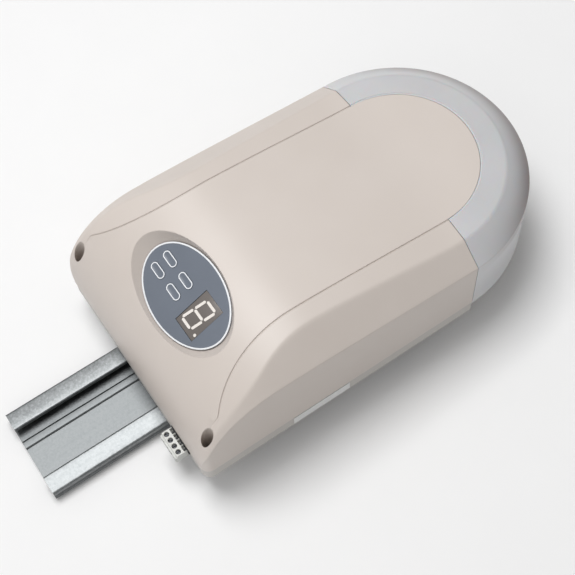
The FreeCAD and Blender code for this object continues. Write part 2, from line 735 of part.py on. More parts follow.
def gearbox_cover():
    z = HOUSING_TOP
    shape = fuse([
        cyl(DRUM_R, z, z + 3.0, 0, DRIVE_Y),
        cyl(BEARING_R + 3.0, z, z + 11.0, 0, DRIVE_Y),
    ])
    tools = [
        cyl(BEARING_R, z - 1.0, z + 9.0, 0, DRIVE_Y),
        cyl(SHAFT_R + 2.0, z, z + 20.0, 0, DRIVE_Y),
        cyl_y(MOTOR_R + CLEAR, FLANGE_Y - 4.0 - CLEAR, CAN_Y + MOTOR_L, WORM_X, WORM_Z),
    ]
    tools += [cyl(1.7, z - 1, z + 5, x, y) for x, y in cover_holes()]
    for tool in tools:
        shape = shape.cut(tool)
    return shape


def gearbox_cover_screws():
    z = HOUSING_TOP
    shapes = []
    for x, y in cover_holes():
        shapes.append(fuse([cyl(2.6, z + 3.0, z + 5.2, x, y), cyl(1.25, z - 7.0, z + 4.0, x, y)]))
    return group(shapes)


def gearbox_bolts():
    bolts = []
    for x, y in gearbox_holes():
        head = hexagon(10.0, FLOOR + 6.0, FLOOR + 10.0, x, y)
        bolts.append(fuse([head, cyl(BOLT_R, -7.0, FLOOR + 7.0, x, y)]))
    return group(bolts)


def output_bearings():
    shapes = []
    for z in (FLOOR + 2.0, HOUSING_TOP + 1.0):
        ring = cyl(BEARING_R, z, z + BEARING_T, 0, DRIVE_Y)
        ring = ring.cut(cyl(SHAFT_R + RUN, z - 1, z + BEARING_T + 1, 0, DRIVE_Y))
        for face in (z - 1.0, z + BEARING_T - 0.6):
            groove = cyl(BEARING_R - 2.5, face, face + 1.6, 0, DRIVE_Y)
            groove = groove.cut(cyl(SHAFT_R + 2.5, face - 1, face + 3, 0, DRIVE_Y))
            ring = ring.cut(groove)
        shapes.append(ring)
    return group(shapes)


def tooth_outline(count, radii, halves, z):
    """Trapezoid teeth around a wheel, a space centred on the +X axis."""
    points = []
    for i in range(count):
        middle = 2.0 * math.pi * (i + 0.5) / count
        for r, half in ((radii[0], -halves[0]), (radii[1], -halves[1]),
                        (radii[1], halves[1]), (radii[0], halves[0])):
            a = middle + half / r
            points.append((r * math.cos(a), r * math.sin(a), z))
    return points


def worm_wheel():
    twist = WHEEL_FACE * MODULE / (2.0 * WORM_R) / WHEEL_R
    radii = (WHEEL_R - 1.3, WHEEL_R + 0.95)
    halves = (1.42, 0.60)
    wires = []
    for z, turn in ((-WHEEL_FACE / 2.0, -twist / 2.0), (WHEEL_FACE / 2.0, twist / 2.0)):
        wire = polygon(tooth_outline(WHEEL_TEETH, radii, halves, z))
        wires.append(wire.rotated(V(0, 0, 0), V(0, 0, 1), math.degrees(turn)))
    rim = Part.makeLoft(wires, True, True)
    rim.translate(V(0, DRIVE_Y, WORM_Z))
    low, high = FLOOR + BEARING_T + 3.6, HOUSING_TOP - 0.6
    hub = cyl(SHAFT_R + 6.0, low, high, 0, DRIVE_Y)
    shape = rim.fuse(hub)
    shape = shape.cut(cyl(SHAFT_R + 0.01, low - 1, high + 1, 0, DRIVE_Y))
    ring = cyl(WHEEL_R - 5.0, 0, 3.0, 0, DRIVE_Y).cut(cyl(SHAFT_R + 8.0, -1, 4, 0, DRIVE_Y))
    for z in (WORM_Z - WHEEL_FACE / 2.0 - 0.5, WORM_Z + WHEEL_FACE / 2.0 - 2.5):
        web = ring.copy()
        web.translate(V(0, 0, z))
        shape = shape.cut(web)
    return shape


SPROCKET_R = CHAIN_PITCH / (2.0 * math.sin(math.pi / SPROCKET_TEETH))
SPROCKET_Z = RAIL_TOP - RAIL_T - 4.2


def output_shaft():
    return cyl(SHAFT_R, SPROCKET_Z - 2.6, HOUSING_TOP + 9.6, 0, DRIVE_Y)


def drive_sprocket():
    z0, z1 = SPROCKET_Z - SPROCKET_T / 2.0, SPROCKET_Z + SPROCKET_T / 2.0
    radii = (SPROCKET_R - 1.8, SPROCKET_R + 1.5)
    points = tooth_outline(SPROCKET_TEETH, radii, (2.2, 0.7), z0)
    disc = prism([(x, y + DRIVE_Y, z) for x, y, z in points], (0, 0, z1 - z0))
    hub = cyl(SHAFT_R + 4.0, z1 - 0.5, -CHASSIS_T - 1.0, 0, DRIVE_Y)
    shape = disc.fuse(hub)
    return shape.cut(cyl(SHAFT_R + 0.01, -40, 20, 0, DRIVE_Y))


def worm_thread():
    pitch = math.pi * MODULE
    length = pitch * WORM_TURNS
    low, high = WORM_R - 1.3, WORM_R + 0.95
    helix = Part.makeHelix(pitch, length, WORM_R)
    profile = polygon([(low, 0, -1.42), (high, 0, -0.60), (high, 0, 0.60), (low, 0, 1.42)])
    thread = Part.Wire(helix).makePipeShell([profile], True, True)
    core = Part.makeCylinder(WORM_R - 1.2, 2.0 * WORM_HALF, V(0, 0, 0.5 * length - WORM_HALF))
    shape = core.fuse(thread)
    start = DRIVE_Y - length / 2.0
    shape.Placement = FreeCAD.Placement(V(WORM_X, start, WORM_Z), FreeCAD.Rotation(V(1, 0, 0), -90))
    return shape


def worm_shaft():
    y0 = ENCODER_Y - 2.0
    shaft = cyl_y(WORM_SHAFT_R, y0, CAN_Y + MOTOR_L - 0.5, WORM_X, WORM_Z)
    return worm_thread().fuse(shaft)


def worm_bushes():
    shapes = []
    for y0, y1 in ((TUNNEL_Y, TUNNEL_Y + 6.0), (FLANGE_Y - 6.0, CAN_Y)):
        bush = cyl_y(WORM_SHAFT_R + 4.0, y0, y1, WORM_X, WORM_Z)
        shapes.append(bush.cut(cyl_y(WORM_SHAFT_R + RUN, y0 - 1, y1 + 1, WORM_X, WORM_Z)))
    return group(shapes)


# --- Motor -------------------------------------------------------------------
def motor_can():
    end = CAN_Y + MOTOR_L - 6.0
    can = cyl_y(MOTOR_R, CAN_Y, end, WORM_X, WORM_Z)
    can = can.cut(cyl_y(MOTOR_R - 1.6, CAN_Y + 2.0, end + 1.0, WORM_X, WORM_Z))
    return can.cut(cyl_y(WORM_SHAFT_R + 4.5, CAN_Y - 1.0, CAN_Y + 3.0, WORM_X, WORM_Z))


def motor_end_cap():
    y0 = CAN_Y + MOTOR_L - 6.0
    cap = fuse([
        cyl_y(MOTOR_R, y0, y0 + 3.0, WORM_X, WORM_Z),
        cyl_y(WORM_SHAFT_R + 4.0, y0 - 4.0, y0 + 8.0, WORM_X, WORM_Z),
        box(WORM_X - 14.0, WORM_X - 11.0, y0, y0 + 7.0, WORM_Z - 3.0, WORM_Z + 3.0),
        box(WORM_X + 11.0, WORM_X + 14.0, y0, y0 + 7.0, WORM_Z - 3.0, WORM_Z + 3.0),
    ])
    return cap.cut(cyl_y(WORM_SHAFT_R + RUN, y0 - 6.0, y0 + 6.5, WORM_X, WORM_Z))


def motor_magnets():
    y0, y1 = CAN_Y + 10.0, CAN_Y + MOTOR_L - 22.0
    ring = cyl_y(MOTOR_R - 1.65, y0, y1, WORM_X, WORM_Z)
    ring = ring.cut(cyl_y(MOTOR_R - 5.6, y0 - 1, y1 + 1, WORM_X, WORM_Z))
    gap = box(WORM_X - 6.0, WORM_X + 6.0, y0 - 1, y1 + 1, 0.0, WORM_Z + MOTOR_R)
    return ring.cut(gap)


def armature():
    y0, y1 = CAN_Y + 11.0, CAN_Y + MOTOR_L - 24.0
    core = cyl_y(MOTOR_R - 6.4, y0, y1, WORM_X, WORM_Z)
    shape = core.fuse(cyl_y(8.0, y1, y1 + 9.0, WORM_X, WORM_Z))
    slots = []
    for i in range(8):
        slot = box(WORM_X - 0.9, WORM_X + 0.9, y0 - 1, y1 + 1, WORM_Z + 8.0, WORM_Z + MOTOR_R)
        slots.append(slot.rotated(V(WORM_X, 0, WORM_Z), V(0, 1, 0), 45.0 * i))
    shape = cut(shape, slots)
    return shape.cut(cyl_y(WORM_SHAFT_R + 0.01, y0 - 1, y1 + 20, WORM_X, WORM_Z))


def encoder_disc():
    y = ENCODER_Y - 0.6
    disc = cyl_y(13.0, y, y + 1.2, WORM_X, WORM_Z)
    disc = disc.fuse(cyl_y(7.0, y, y + 5.0, WORM_X, WORM_Z))
    slots = []
    for i in range(12):
        slot = box(WORM_X - 1.0, WORM_X + 1.0, y - 1, y + 3, WORM_Z + 9.0, WORM_Z + 12.0)
        slots.append(slot.rotated(V(WORM_X, 0, WORM_Z), V(0, 1, 0), 30.0 * i))
    shape = cut(disc, slots)
    return shape.cut(cyl_y(WORM_SHAFT_R + 0.01, y - 1, y + 8, WORM_X, WORM_Z))


def encoder_sensor():
    y = ENCODER_Y
    body = box(WORM_X - 5.0, WORM_X + 5.0, y - 5.0, y + 5.0, 13.0, WORM_Z - 7.6)
    return body.cut(box(WORM_X - 6.0, WORM_X + 6.0, y - 1.6, y + 1.6, 14.4, WORM_Z))


# --- Boards, lamp and power --------------------------------------------------
def board_holes():
    return [(side * (BOARD_X - 5.0), y) for side in (1, -1) for y in (BOARD_Y[0] + 12.0, BOARD_Y[1] - 5.0)]


def control_board():
    shape = box(-BOARD_X, BOARD_X, BOARD_Y[0], BOARD_Y[1], BOARD_Z, BOARD_Z + BOARD_T)
    return cut(shape, [cyl(1.7, 0, 40, x, y) for x, y in board_holes()])


def screws(holes, seat, head_r, head_t, r, length):
    shapes = []
    for x, y in holes:
        head = cyl(head_r, seat, seat + head_t, x, y)
        drive = fuse([
            box(x - 0.6 * head_r, x + 0.6 * head_r, y - 0.4, y + 0.4, seat + 0.5 * head_t, seat + 9),
            box(x - 0.4, x + 0.4, y - 0.6 * head_r, y + 0.6 * head_r, seat + 0.5 * head_t, seat + 9),
        ])
        shapes.append(fuse([head, cyl(r, seat - length, seat + 0.3, x, y)]).cut(drive))
    return group(shapes)


def board_relays():
    z, y = BOARD_Z + BOARD_T, BOARD_Y[1]
    return group([box(x, x + 19.0, y - 23.0, y - 8.0, z, z + 15.5) for x in (-50.0, -28.0)])


def board_capacitors():
    z = BOARD_Z + BOARD_T
    return group([cyl(6.5, z, z + 16.0, x, BOARD_Y[1] - 15.0) for x in (0.0, 15.0, 30.0)])


def heat_sink():
    z, x = BOARD_Z + BOARD_T, 38.0
    y0, y1 = BOARD_Y[1] - 24.0, BOARD_Y[1] - 9.0
    parts = [box(x, x + 22.0, y0, y1, z, z + 3.0)]
    for i in range(5):
        parts.append(box(x + 4.9 * i, x + 2.4 + 4.9 * i, y0, y1, z, z + 15.0))
    return fuse(parts)


def board_chips():
    z, y = BOARD_Z + BOARD_T, BOARD_Y[0] + 3.0
    sizes = ((-46.0, 22.0, 3.6), (-16.0, 12.0, 1.8), (4.0, 20.0, 4.5))
    return group([box(x, x + w, y, y + 9.5, z, z + h) for x, w, h in sizes])


def terminal_header():
    half = POLE * POLES / 2.0 + 0.9
    x0, x1 = TERMINAL_X - half, TERMINAL_X + half
    body = box(x0, x1, -0.4, 9.0, FLOOR + 0.4, 11.0)
    riser = box(x0 + 3.0, x1 - 3.0, 10.5, 15.0, FLOOR + 0.4, BOARD_Z)
    link = box(x0 + 3.0, x1 - 3.0, 8.5, 11.0, FLOOR + 0.4, 11.0)
    pins = []
    for x in pole_xs():
        pins.append(box(x - 0.5, x + 0.5, -2.2, 0.0, 6.4, 7.4))
    return fuse([body, link, riser] + pins)


def pole_xs():
    return [TERMINAL_X + POLE * (i - (POLES - 1) / 2.0) for i in range(POLES)]


def terminal_plug():
    half = POLE * POLES / 2.0 + 0.3
    body = box(TERMINAL_X - half, TERMINAL_X + half, -10.4, -0.6, 0.9, TERMINAL_TOP)
    tools = []
    for x in pole_xs():
        tools.append(cyl(1.9, 5.0, TERMINAL_TOP + 1.0, x, -6.2))
        tools.append(box(x - 1.6, x + 1.6, -12.0, -4.0, 1.6, 4.8))
        tools.append(box(x - 0.8, x + 0.8, -3.4, 0.0, 6.1, 7.7))
    for tool in tools:
        body = body.cut(tool)
    return body


def terminal_screws():
    shapes = []
    for x in pole_xs():
        screw = cyl(1.7, 5.0, TERMINAL_TOP - 0.7, x, -6.2)
        shapes.append(screw.cut(box(x - 2, x + 2, -6.55, -5.85, TERMINAL_TOP - 1.4, 20.0)))
    return group(shapes)


def transformer_holes():
    x, y = TRANSFORMER_X, TRANSFORMER_Y
    return [(x + sx * 17.0, y + sy * 26.5) for sx in (1, -1) for sy in (1, -1)]


def transformer_core():
    x, y = TRANSFORMER_X, TRANSFORMER_Y
    z = TRANSFORMER_Z
    core = box(x - 12.0, x + 12.0, y - 23.0, y + 23.0, z + 2.0, z + 46.0)
    windows = [box(x - 20, x + 20, y + s - 4.5, y + s + 4.5, z + 10.0, z + 38.0) for s in (-12.5, 12.5)]
    frame = box(x - 22.0, x + 22.0, y - 30.0, y + 30.0, z, z + 2.0)
    holes = [cyl(1.7, 0, 40, px, py) for px, py in transformer_holes()]
    return cut(core, windows).fuse(frame).cut(group(holes))


def transformer_coil():
    x, y = TRANSFORMER_X, TRANSFORMER_Y
    z = TRANSFORMER_Z
    coil = box(x - 21.0, x + 21.0, y - 16.5, y + 16.5, z + 10.5, z + 37.5)
    edges = [e for e in coil.Edges if abs(e.Vertexes[0].Z - e.Vertexes[-1].Z) > 1.0]
    coil = coil.makeFillet(4.0, edges)
    return coil.cut(box(x - 12.1, x + 12.1, y - 8.1, y + 8.1, z, z + 50.0))


def lamp_radii():
    return (HALF_W - 23.5, HALF_W - 9.5)


def lamp_holes():
    r = sum(lamp_radii()) / 2.0
    angles = [math.radians(a) for a in (33.3, 90.0, 146.7)]
    return [(r * math.cos(a), REAR_Y + r * math.sin(a)) for a in angles]


def lamp_board():
    r0, r1 = lamp_radii()
    ring = cyl(r1, LAMP_Z, LAMP_Z + BOARD_T, 0, REAR_Y).cut(cyl(r0, 0, 99, 0, REAR_Y))
    ring = ring.common(box(-HALF_W, HALF_W, REAR_Y + 4.0, REAR_Y + HALF_W, 0, 99))
    return cut(ring, [cyl(1.7, 0, 99, x, y) for x, y in lamp_holes()])


def lamp_leds():
    r = sum(lamp_radii()) / 2.0
    z = LAMP_Z + BOARD_T
    shapes = []
    for i in range(LEDS):
        angle = 12.0 + 156.0 * i / (LEDS - 1)
        led = box(-2.5, 2.5, -2.5, 2.5, z, z + 1.6).fuse(cyl(2.0, z + 1.0, z + 2.2))
        led.Placement = FreeCAD.Placement(V(r, REAR_Y, 0), FreeCAD.Rotation())
        shapes.append(led.rotated(V(0, REAR_Y, 0), V(0, 0, 1), angle))
    return group(shapes)


# --- Nodes -------------------------------------------------------------------
def make_parts():
    a, b, c, d = [button(x, y) for x, y in button_centres()]
    nodes = {
        "base_tray": base_tray(),
        "main_cover": main_cover(),
        "light_lens": light_lens(),
        "side_label": side_label(),
        "cable_gland": cable_gland(),
        "cover_screws": screws([(s * SCREW_X, SCREW_Y) for s in (1, -1)], SCREW_SEAT, 3.8, 2.4, 1.7, 18.0),
        "lens_screws": screws(lens_ears(), TRAY_H + 4.0, 3.0, 2.0, 1.1, 9.0),
        "chassis_plate": chassis_plate(),
        "mounting_nuts": mounting_nuts(),
        "rail": rail(),
        "rail_spacers": rail_spacers(),
        "rail_clamp_front": rail_clamp(CLAMP_Y[0]),
        "rail_clamp_rear": rail_clamp(CLAMP_Y[1]),
        "clamp_bolts": clamp_bolts(),
        "clamp_nuts": nuts(clamp_holes(), FLOOR, FLOOR + 5.0),
        "panel_plate": panel_plate(),
        "panel_ring": panel_ring(),
        "button_set": a,
        "button_learn": b,
        "button_up": c,
        "button_down": d,
        "panel_board": panel_board(),
        "panel_switches": panel_switches(),
        "display_module": display_module(),
        "display_segments": display_segments(),
        "control_board": control_board(),
        "board_screws": screws(board_holes(), BOARD_Z + BOARD_T, 3.0, 2.0, 1.1, 9.0),
        "board_relays": board_relays(),
        "board_capacitors": board_capacitors(),
        "board_chips": board_chips(),
        "heat_sink": heat_sink(),
        "terminal_header": terminal_header(),
        "terminal_plug": terminal_plug(),
        "terminal_screws": terminal_screws(),
        "transformer_core": transformer_core(),
        "transformer_coil": transformer_coil(),
        "transformer_screws": screws(transformer_holes(), TRANSFORMER_Z + 2.0, 3.0, 2.0, 1.1, 8.0),
        "gearbox_housing": gearbox_housing(),
        "gearbox_cover": gearbox_cover(),
        "gearbox_cover_screws": gearbox_cover_screws(),
        "gearbox_bolts": gearbox_bolts(),
        "gearbox_nuts": nuts(gearbox_holes(), -7.0, -CHASSIS_T),
        "output_bearings": output_bearings(),
        "output_shaft": output_shaft(),
        "worm_wheel": worm_wheel(),
        "drive_sprocket": drive_sprocket(),
        "worm_shaft": worm_shaft(),
        "worm_bushes": worm_bushes(),
        "motor_can": motor_can(),
        "motor_end_cap": motor_end_cap(),
        "motor_magnets": motor_magnets(),
        "armature": armature(),
        "encoder_disc": encoder_disc(),
        "encoder_sensor": encoder_sensor(),
        "lamp_board": lamp_board(),
        "lamp_leds": lamp_leds(),
        "lamp_screws": screws(lamp_holes(), LAMP_Z + BOARD_T, 3.0, 2.0, 1.1, 9.0),
    }
    for name, shape in nodes.items():
        save(name, shape)


make_parts()
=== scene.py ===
import json
import math

import bpy
from mathutils import Matrix, Vector


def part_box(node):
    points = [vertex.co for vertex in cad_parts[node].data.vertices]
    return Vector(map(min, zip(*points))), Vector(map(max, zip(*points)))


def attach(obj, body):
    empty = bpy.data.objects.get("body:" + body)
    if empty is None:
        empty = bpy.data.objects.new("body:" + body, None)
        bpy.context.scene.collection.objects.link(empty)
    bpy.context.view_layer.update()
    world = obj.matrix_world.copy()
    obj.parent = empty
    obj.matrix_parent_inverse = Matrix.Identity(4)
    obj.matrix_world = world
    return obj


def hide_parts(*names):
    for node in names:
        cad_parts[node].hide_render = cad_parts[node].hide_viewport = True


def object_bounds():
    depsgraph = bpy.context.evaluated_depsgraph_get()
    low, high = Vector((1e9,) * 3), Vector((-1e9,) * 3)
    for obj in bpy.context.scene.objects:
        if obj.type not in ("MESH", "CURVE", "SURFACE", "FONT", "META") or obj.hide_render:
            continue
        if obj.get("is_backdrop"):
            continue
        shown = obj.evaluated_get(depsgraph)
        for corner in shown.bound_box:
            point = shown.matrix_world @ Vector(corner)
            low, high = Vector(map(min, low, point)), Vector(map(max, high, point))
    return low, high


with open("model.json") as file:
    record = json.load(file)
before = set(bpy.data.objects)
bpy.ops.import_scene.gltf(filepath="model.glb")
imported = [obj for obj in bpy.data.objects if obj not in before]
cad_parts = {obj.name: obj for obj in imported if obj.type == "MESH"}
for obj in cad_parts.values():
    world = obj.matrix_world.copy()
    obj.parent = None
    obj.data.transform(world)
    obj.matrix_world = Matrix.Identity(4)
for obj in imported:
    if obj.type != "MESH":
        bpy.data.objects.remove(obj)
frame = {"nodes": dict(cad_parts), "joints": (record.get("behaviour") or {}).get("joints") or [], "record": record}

bl_info = {
    "name": "Garage door opener head",
    "version": (1, 0, 0),
    "blender": (4, 5, 0),
    "location": "View3D > Sidebar > Opener",
    "description": "Builds the head of a garage door opener round its fixed frame, piece by piece",
    "category": "Object",
}

MM = 0.001
EDGE_WEAR = 0.3 * MM             # radius to which light softens a sharp edge
SKY_FRONT, SKY_REAR = 0.56, 0.20   # studio light from before and from behind the head
LAMP_AIM = Vector((0.0, 0.11, 0.04))
LAMPS = (("key", (-0.38, 0.00, 1.64), 0.8, 19.0),   # name, place, size and power
         ("fill", (0.7, -0.8, 1.3), 1.2, 1.5))
CAMERA_AZIMUTH = math.radians(61.19)
CAMERA_ELEVATION = math.radians(63.05)
CAMERA_ROLL = math.radians(-5.78)
CAMERA_AIM = Vector((0.0277, 0.1129, 0.060))
CAMERA_DISTANCE = 0.8483
CAMERA_LENS, CAMERA_SENSOR = 78.04, 36.0

# --- Lines of the head, in millimetres, as in the solid model -----------------
COVER_LOW, COVER_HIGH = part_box("main_cover")
LENS_LOW, LENS_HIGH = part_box("light_lens")
HALF_W = COVER_HIGH.x / MM
REAR_Y = LENS_HIGH.y / MM - HALF_W
TRAY_TOP = COVER_LOW.z / MM
CROWN_TOP = COVER_HIGH.z / MM
WALL = 2.6
CORNER_R = 7.0
NOSE = 95.0                      # length of the rounded nose
NOSE_FOOT = TRAY_TOP + 2.7       # the nose starts to curve here
CROWN_FALL = 0.119
CROWN_TURN = 25.0
CROWN_EASE = 20.0                # the crown levels out over this length each side of the seam
SIDE_TOP = CROWN_TOP - 18.7
SIDE_NOSE = 62.0
SIDE_FALL = 0.080
SIDE_TURN = 40.0
SIDE_SLOPE = math.tan(math.radians(40.0))
BAND_X = HALF_W - 35.2
BAND_SLOPE = math.tan(math.radians(7.0))
BAND_LEAD = 4.6
SEAM = 0.35
FOOT_GAP = 0.5                   # shadow gap between cover and tray
SCREW_X = HALF_W - 8.1
SCREW_Y = 11.1
SCREW_SEAT = 24.0
SCREW_WELL_R = 4.7
SCREW_HOLE_R = 2.3
BOSS_R = 6.5
BOSS_GAP = 0.05                  # keeps a boss's bore clear of the cover's own
TRIM = (0.0, 0.5 * MM, -1.0 * MM)   # what stands inside ends this far under the skin
PANEL_RX = 42.6
PANEL_RY = 27.8
PANEL_T = 1.6
RECESS_GAP = 0.3
RECESS_WALL = 2.9
RECESS_FLARE = (0.85, 0.40)      # how much the recess widens per millimetre of height
RING_W = 1.2
POLE = 5.08                      # pitch of the terminal block
POLES = 4
WELL_Y = -6.2                    # middle of the terminal block's screw wells
RAIL_T = 1.4
RAIL_LOW, RAIL_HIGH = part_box("rail")
RAIL_LIP = 13.8
LIP_FALL = 0.9                   # a rail lip's outer edge lies this much lower than its inner
# painted shade on the lens's rear chamfer, in place of a dark reflection: axis, where it starts and where it is
# full
LENS_PAINTED_SHADE = (("Y", REAR_Y - 5.0, REAR_Y + 75.0), ("Z", 77.5, 63.0), ("Z", 52.0, 60.0))
LENS_STEPS = 72


# --- Tools for making pieces ---------------------------------------------------
def only(obj):
    """Select this object alone and make it the active one."""
    bpy.ops.object.select_all(action="DESELECT")
    obj.select_set(True)
    bpy.context.view_layer.objects.active = obj


def start(add_primitive, **settings):
    """Add a primitive with nothing else selected and return it."""
    bpy.ops.object.select_all(action="DESELECT")
    add_primitive(**settings)
    return bpy.context.object


def modify(obj, kind, **settings):
    """Give the object a modifier with these settings and apply it."""
    only(obj)
    modifier = obj.modifiers.new(kind.title(), kind)
    for name, value in settings.items():
        setattr(modifier, name, value)
    bpy.ops.object.modifier_apply(modifier=modifier.name)


def combine(obj, tool, operation):
    """Join, cut or trim the object with a tool, which is then taken away."""
    modify(obj, "BOOLEAN", object=tool, operation=operation, solver="EXACT")
    bpy.data.objects.remove(tool)


def pick(obj, kind, wanted):
    """In edit mode, select the vertices, edges or faces that pass the test."""
    only(obj)
    bpy.ops.object.mode_set(mode="EDIT")
    bpy.ops.mesh.select_mode(type=kind)
    bpy.ops.mesh.select_all(action="DESELECT")
    bpy.ops.object.mode_set(mode="OBJECT")
    mesh = obj.data
    parts = {"VERT": mesh.vertices, "EDGE": mesh.edges, "FACE": mesh.polygons}[kind]
    for part in parts:
        part.select = wanted(part)
    bpy.ops.object.mode_set(mode="EDIT")


def done():
    """Leave edit mode."""
    bpy.ops.object.mode_set(mode="OBJECT")


def settle(obj):
    """Write the object's place, turn and scale into its mesh."""
    only(obj)
    bpy.ops.object.transform_apply(location=True, rotation=True, scale=True)


def join(obj, others):
    """Make the others part of the object's mesh."""
    only(obj)
    for other in others:
        other.select_set(True)
    bpy.ops.object.join()


def soften(obj, width, segments=2):
    """Round every sharp edge by this width, in millimetres."""
    modify(obj, "BEVEL", width=width * MM, segments=segments, limit_method="ANGLE",
           angle_limit=math.radians(50.0))


def heal(obj, distance=0.002 * MM):
    """Merge doubled vertices and turn every face outwards."""
    pick(obj, "VERT", lambda v: True)
    bpy.ops.mesh.remove_doubles(threshold=distance)
    bpy.ops.mesh.dissolve_degenerate(threshold=0.1 * distance)
    bpy.ops.mesh.normals_make_consistent(inside=False)
    done()


def sheet_through(rows):
    """A grid primitive with one vertex for each point of the rows, in millimetres."""
    obj = start(
        bpy.ops.mesh.primitive_grid_add,
        x_subdivisions=len(rows[0]) - 1,
        y_subdivisions=len(rows) - 1,
        size=1.0,
    )
    points = [point for row in rows for point in row]
    for vertex, point in zip(obj.data.vertices, points, strict=True):
        vertex.co = Vector(point) * MM
    return obj


def rounded(points, radius, steps=5):
    """The open line through the points with its corners rounded, in two dimensions."""
    line = [points[0]]
    for before, corner, after in zip(points, points[1:], points[2:]):
        back = Vector(before) - Vector(corner)
        ahead = Vector(after) - Vector(corner)
        half = back.angle(ahead) / 2.0
        reach = min(radius / math.tan(half), 0.49 * back.length, 0.49 * ahead.length)
        for i in range(steps + 1):
            t = i / steps
            a = Vector(corner) + back.normalized() * reach * (1.0 - t)
            b = Vector(corner) + ahead.normalized() * reach * t
            line.append(tuple(a.lerp(b, t)))
    line.append(points[-1])
    return line


def smooth(obj, degrees=28.0):
    """Shade smooth, with the edges sharper than this kept crisp."""
    only(obj)
    bpy.ops.object.shade_smooth_by_angle(angle=math.radians(degrees))


def finish(obj, name, material, body, nodes=()):
    """Name a piece, give it its finish and let it ride on its body."""
    obj.name = name
    obj.data.name = name
    if material is not None:
        obj.data.materials.clear()
        obj.data.materials.append(material)
    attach(obj, body)
    if nodes:
        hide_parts(*nodes)
    return obj


# --- Tools for making finishes --------------------------------------------------
def colour(code):
    """An sRGB hex code as linear red, green, blue and alpha."""
    parts = [int(code[i:i + 2], 16) / 255.0 for i in (1, 3, 5)]
    linear = [c / 12.92 if c <= 0.04045 else ((c + 0.055) / 1.055) ** 2.4 for c in parts]
    return (*linear, 1.0)


def per(size_mm):
    """Texture scale that gives features of about this size, in millimetres."""
    return 1.0 / (size_mm * MM)


def add(tree, kind, inputs=None, **settings):
    """Add a node with its settings, and fill or link the inputs that are named."""
    node = tree.nodes.new(kind)
    for name, value in settings.items():
        setattr(node, name, value)
    for name, value in (inputs or {}).items():
        if isinstance(value, bpy.types.NodeSocket):
            tree.links.new(value, node.inputs[name])
        else:
            node.inputs[name].default_value = value
    return node


def blank(name, **shader):
    """A material with a Principled shader set to these values, and its object coordinates."""
    material = bpy.data.materials.new(name)
    material.use_nodes = True
    tree = material.node_tree
    surface = tree.nodes["Principled BSDF"]
    for key, value in shader.items():
        surface.inputs[key.replace("_", " ").title().replace("Ior", "IOR")].default_value = value
    where = add(tree, "ShaderNodeTexCoord").outputs["Object"]
    return material, tree, surface, where


def two_tones(tree, surface, share, dark, light):
    """Mix two tones by a share from 0 to 1 and use them as the base colour."""
    mixed = add(tree, "ShaderNodeMix", {"Factor": share}, data_type="RGBA")
    mixed.inputs[6].default_value = colour(dark)
    mixed.inputs[7].default_value = colour(light)
    tree.links.new(mixed.outputs[2], surface.inputs["Base Color"])
    return mixed


def moulded(name, dark, light, roughness, grain=0.5, depth=0.02, mottle=60.0, wear=0.3, **shader):
    """Injection-moulded plastic: fine spark-eroded grain and a very faint, wide change of tone."""
    material, tree, surface, where = blank(name, ior=1.5, **shader)
    wide = add(tree, "ShaderNodeTexNoise", {"Vector": where, "Scale": per(mottle), "Detail": 3.0})
    two_tones(tree, surface, wide.outputs["Fac"], dark, light)
    fine = add(tree, "ShaderNodeTexNoise", {"Vector": where, "Scale": per(grain), "Detail": 2.0})
    gloss = add(tree, "ShaderNodeMapRange", {
        "Value": fine.outputs["Fac"], "To Min": roughness - 0.04, "To Max": roughness + 0.06})
    tree.links.new(gloss.outputs["Result"], surface.inputs["Roughness"])
    soft = add(tree, "ShaderNodeBevel", {"Radius": wear * MM}, samples=4)
    bump = add(tree, "ShaderNodeBump", {
        "Strength": 0.35, "Distance": depth * MM, "Height": fine.outputs["Fac"],
        "Normal": soft.outputs["Normal"]})
    tree.links.new(bump.outputs["Normal"], surface.inputs["Normal"])
    return material


def worked_metal(name, dark, light, roughness, stretch=(1.0, 1.0, 1.0), grain=0.6, depth=0.01):
    """Metal with tool or roller marks: noise drawn out along the way the tool went."""
    material, tree, surface, where = blank(name, metallic=1.0)
    drawn = add(tree, "ShaderNodeMapping", {"Vector": where, "Scale": stretch})
    marks = add(tree, "ShaderNodeTexNoise", {
        "Vector": drawn.outputs["Vector"], "Scale": per(grain), "Detail": 4.0})
    wide = add(tree, "ShaderNodeTexNoise", {"Vector": where, "Scale": per(14.0), "Detail": 2.0})
    blend = add(tree, "ShaderNodeMath", {0: marks.outputs["Fac"], 1: wide.outputs["Fac"]},
                operation="MULTIPLY")
    share = add(tree, "ShaderNodeMapRange", {
        "Value": blend.outputs[0], "From Min": 0.1, "From Max": 0.42})
    two_tones(tree, surface, share.outputs["Result"], dark, light)
    gloss = add(tree, "ShaderNodeMapRange", {
        "Value": marks.outputs["Fac"], "To Min": roughness - 0.08, "To Max": roughness + 0.1})
    tree.links.new(gloss.outputs["Result"], surface.inputs["Roughness"])
    soft = add(tree, "ShaderNodeBevel", {"Radius": EDGE_WEAR}, samples=4)
    bump = add(tree, "ShaderNodeBump", {
        "Strength": 0.3, "Distance": depth * MM, "Height": marks.outputs["Fac"],
        "Normal": soft.outputs["Normal"]})
    tree.links.new(bump.outputs["Normal"], surface.inputs["Normal"])
    return material


# --- Finishes of the outside ------------------------------------------------------
def champagne_abs(colours):
    """Moulded ABS with a satin champagne-grey coat: soft sheen, faint sparkle grain."""
    return moulded("abs_satin_champagne", colours.cover_dark, colours.cover_light, 0.42,
                   grain=0.45, depth=0.012, wear=0.8, coat_weight=0.08, coat_roughness=0.35)


def tray_abs(colours):
    """Moulded ABS, plain and a little coarser than the cover's."""
    return moulded("abs_moulded_grey", colours.tray_dark, colours.tray_light, 0.5,
                   grain=0.6, depth=0.02)


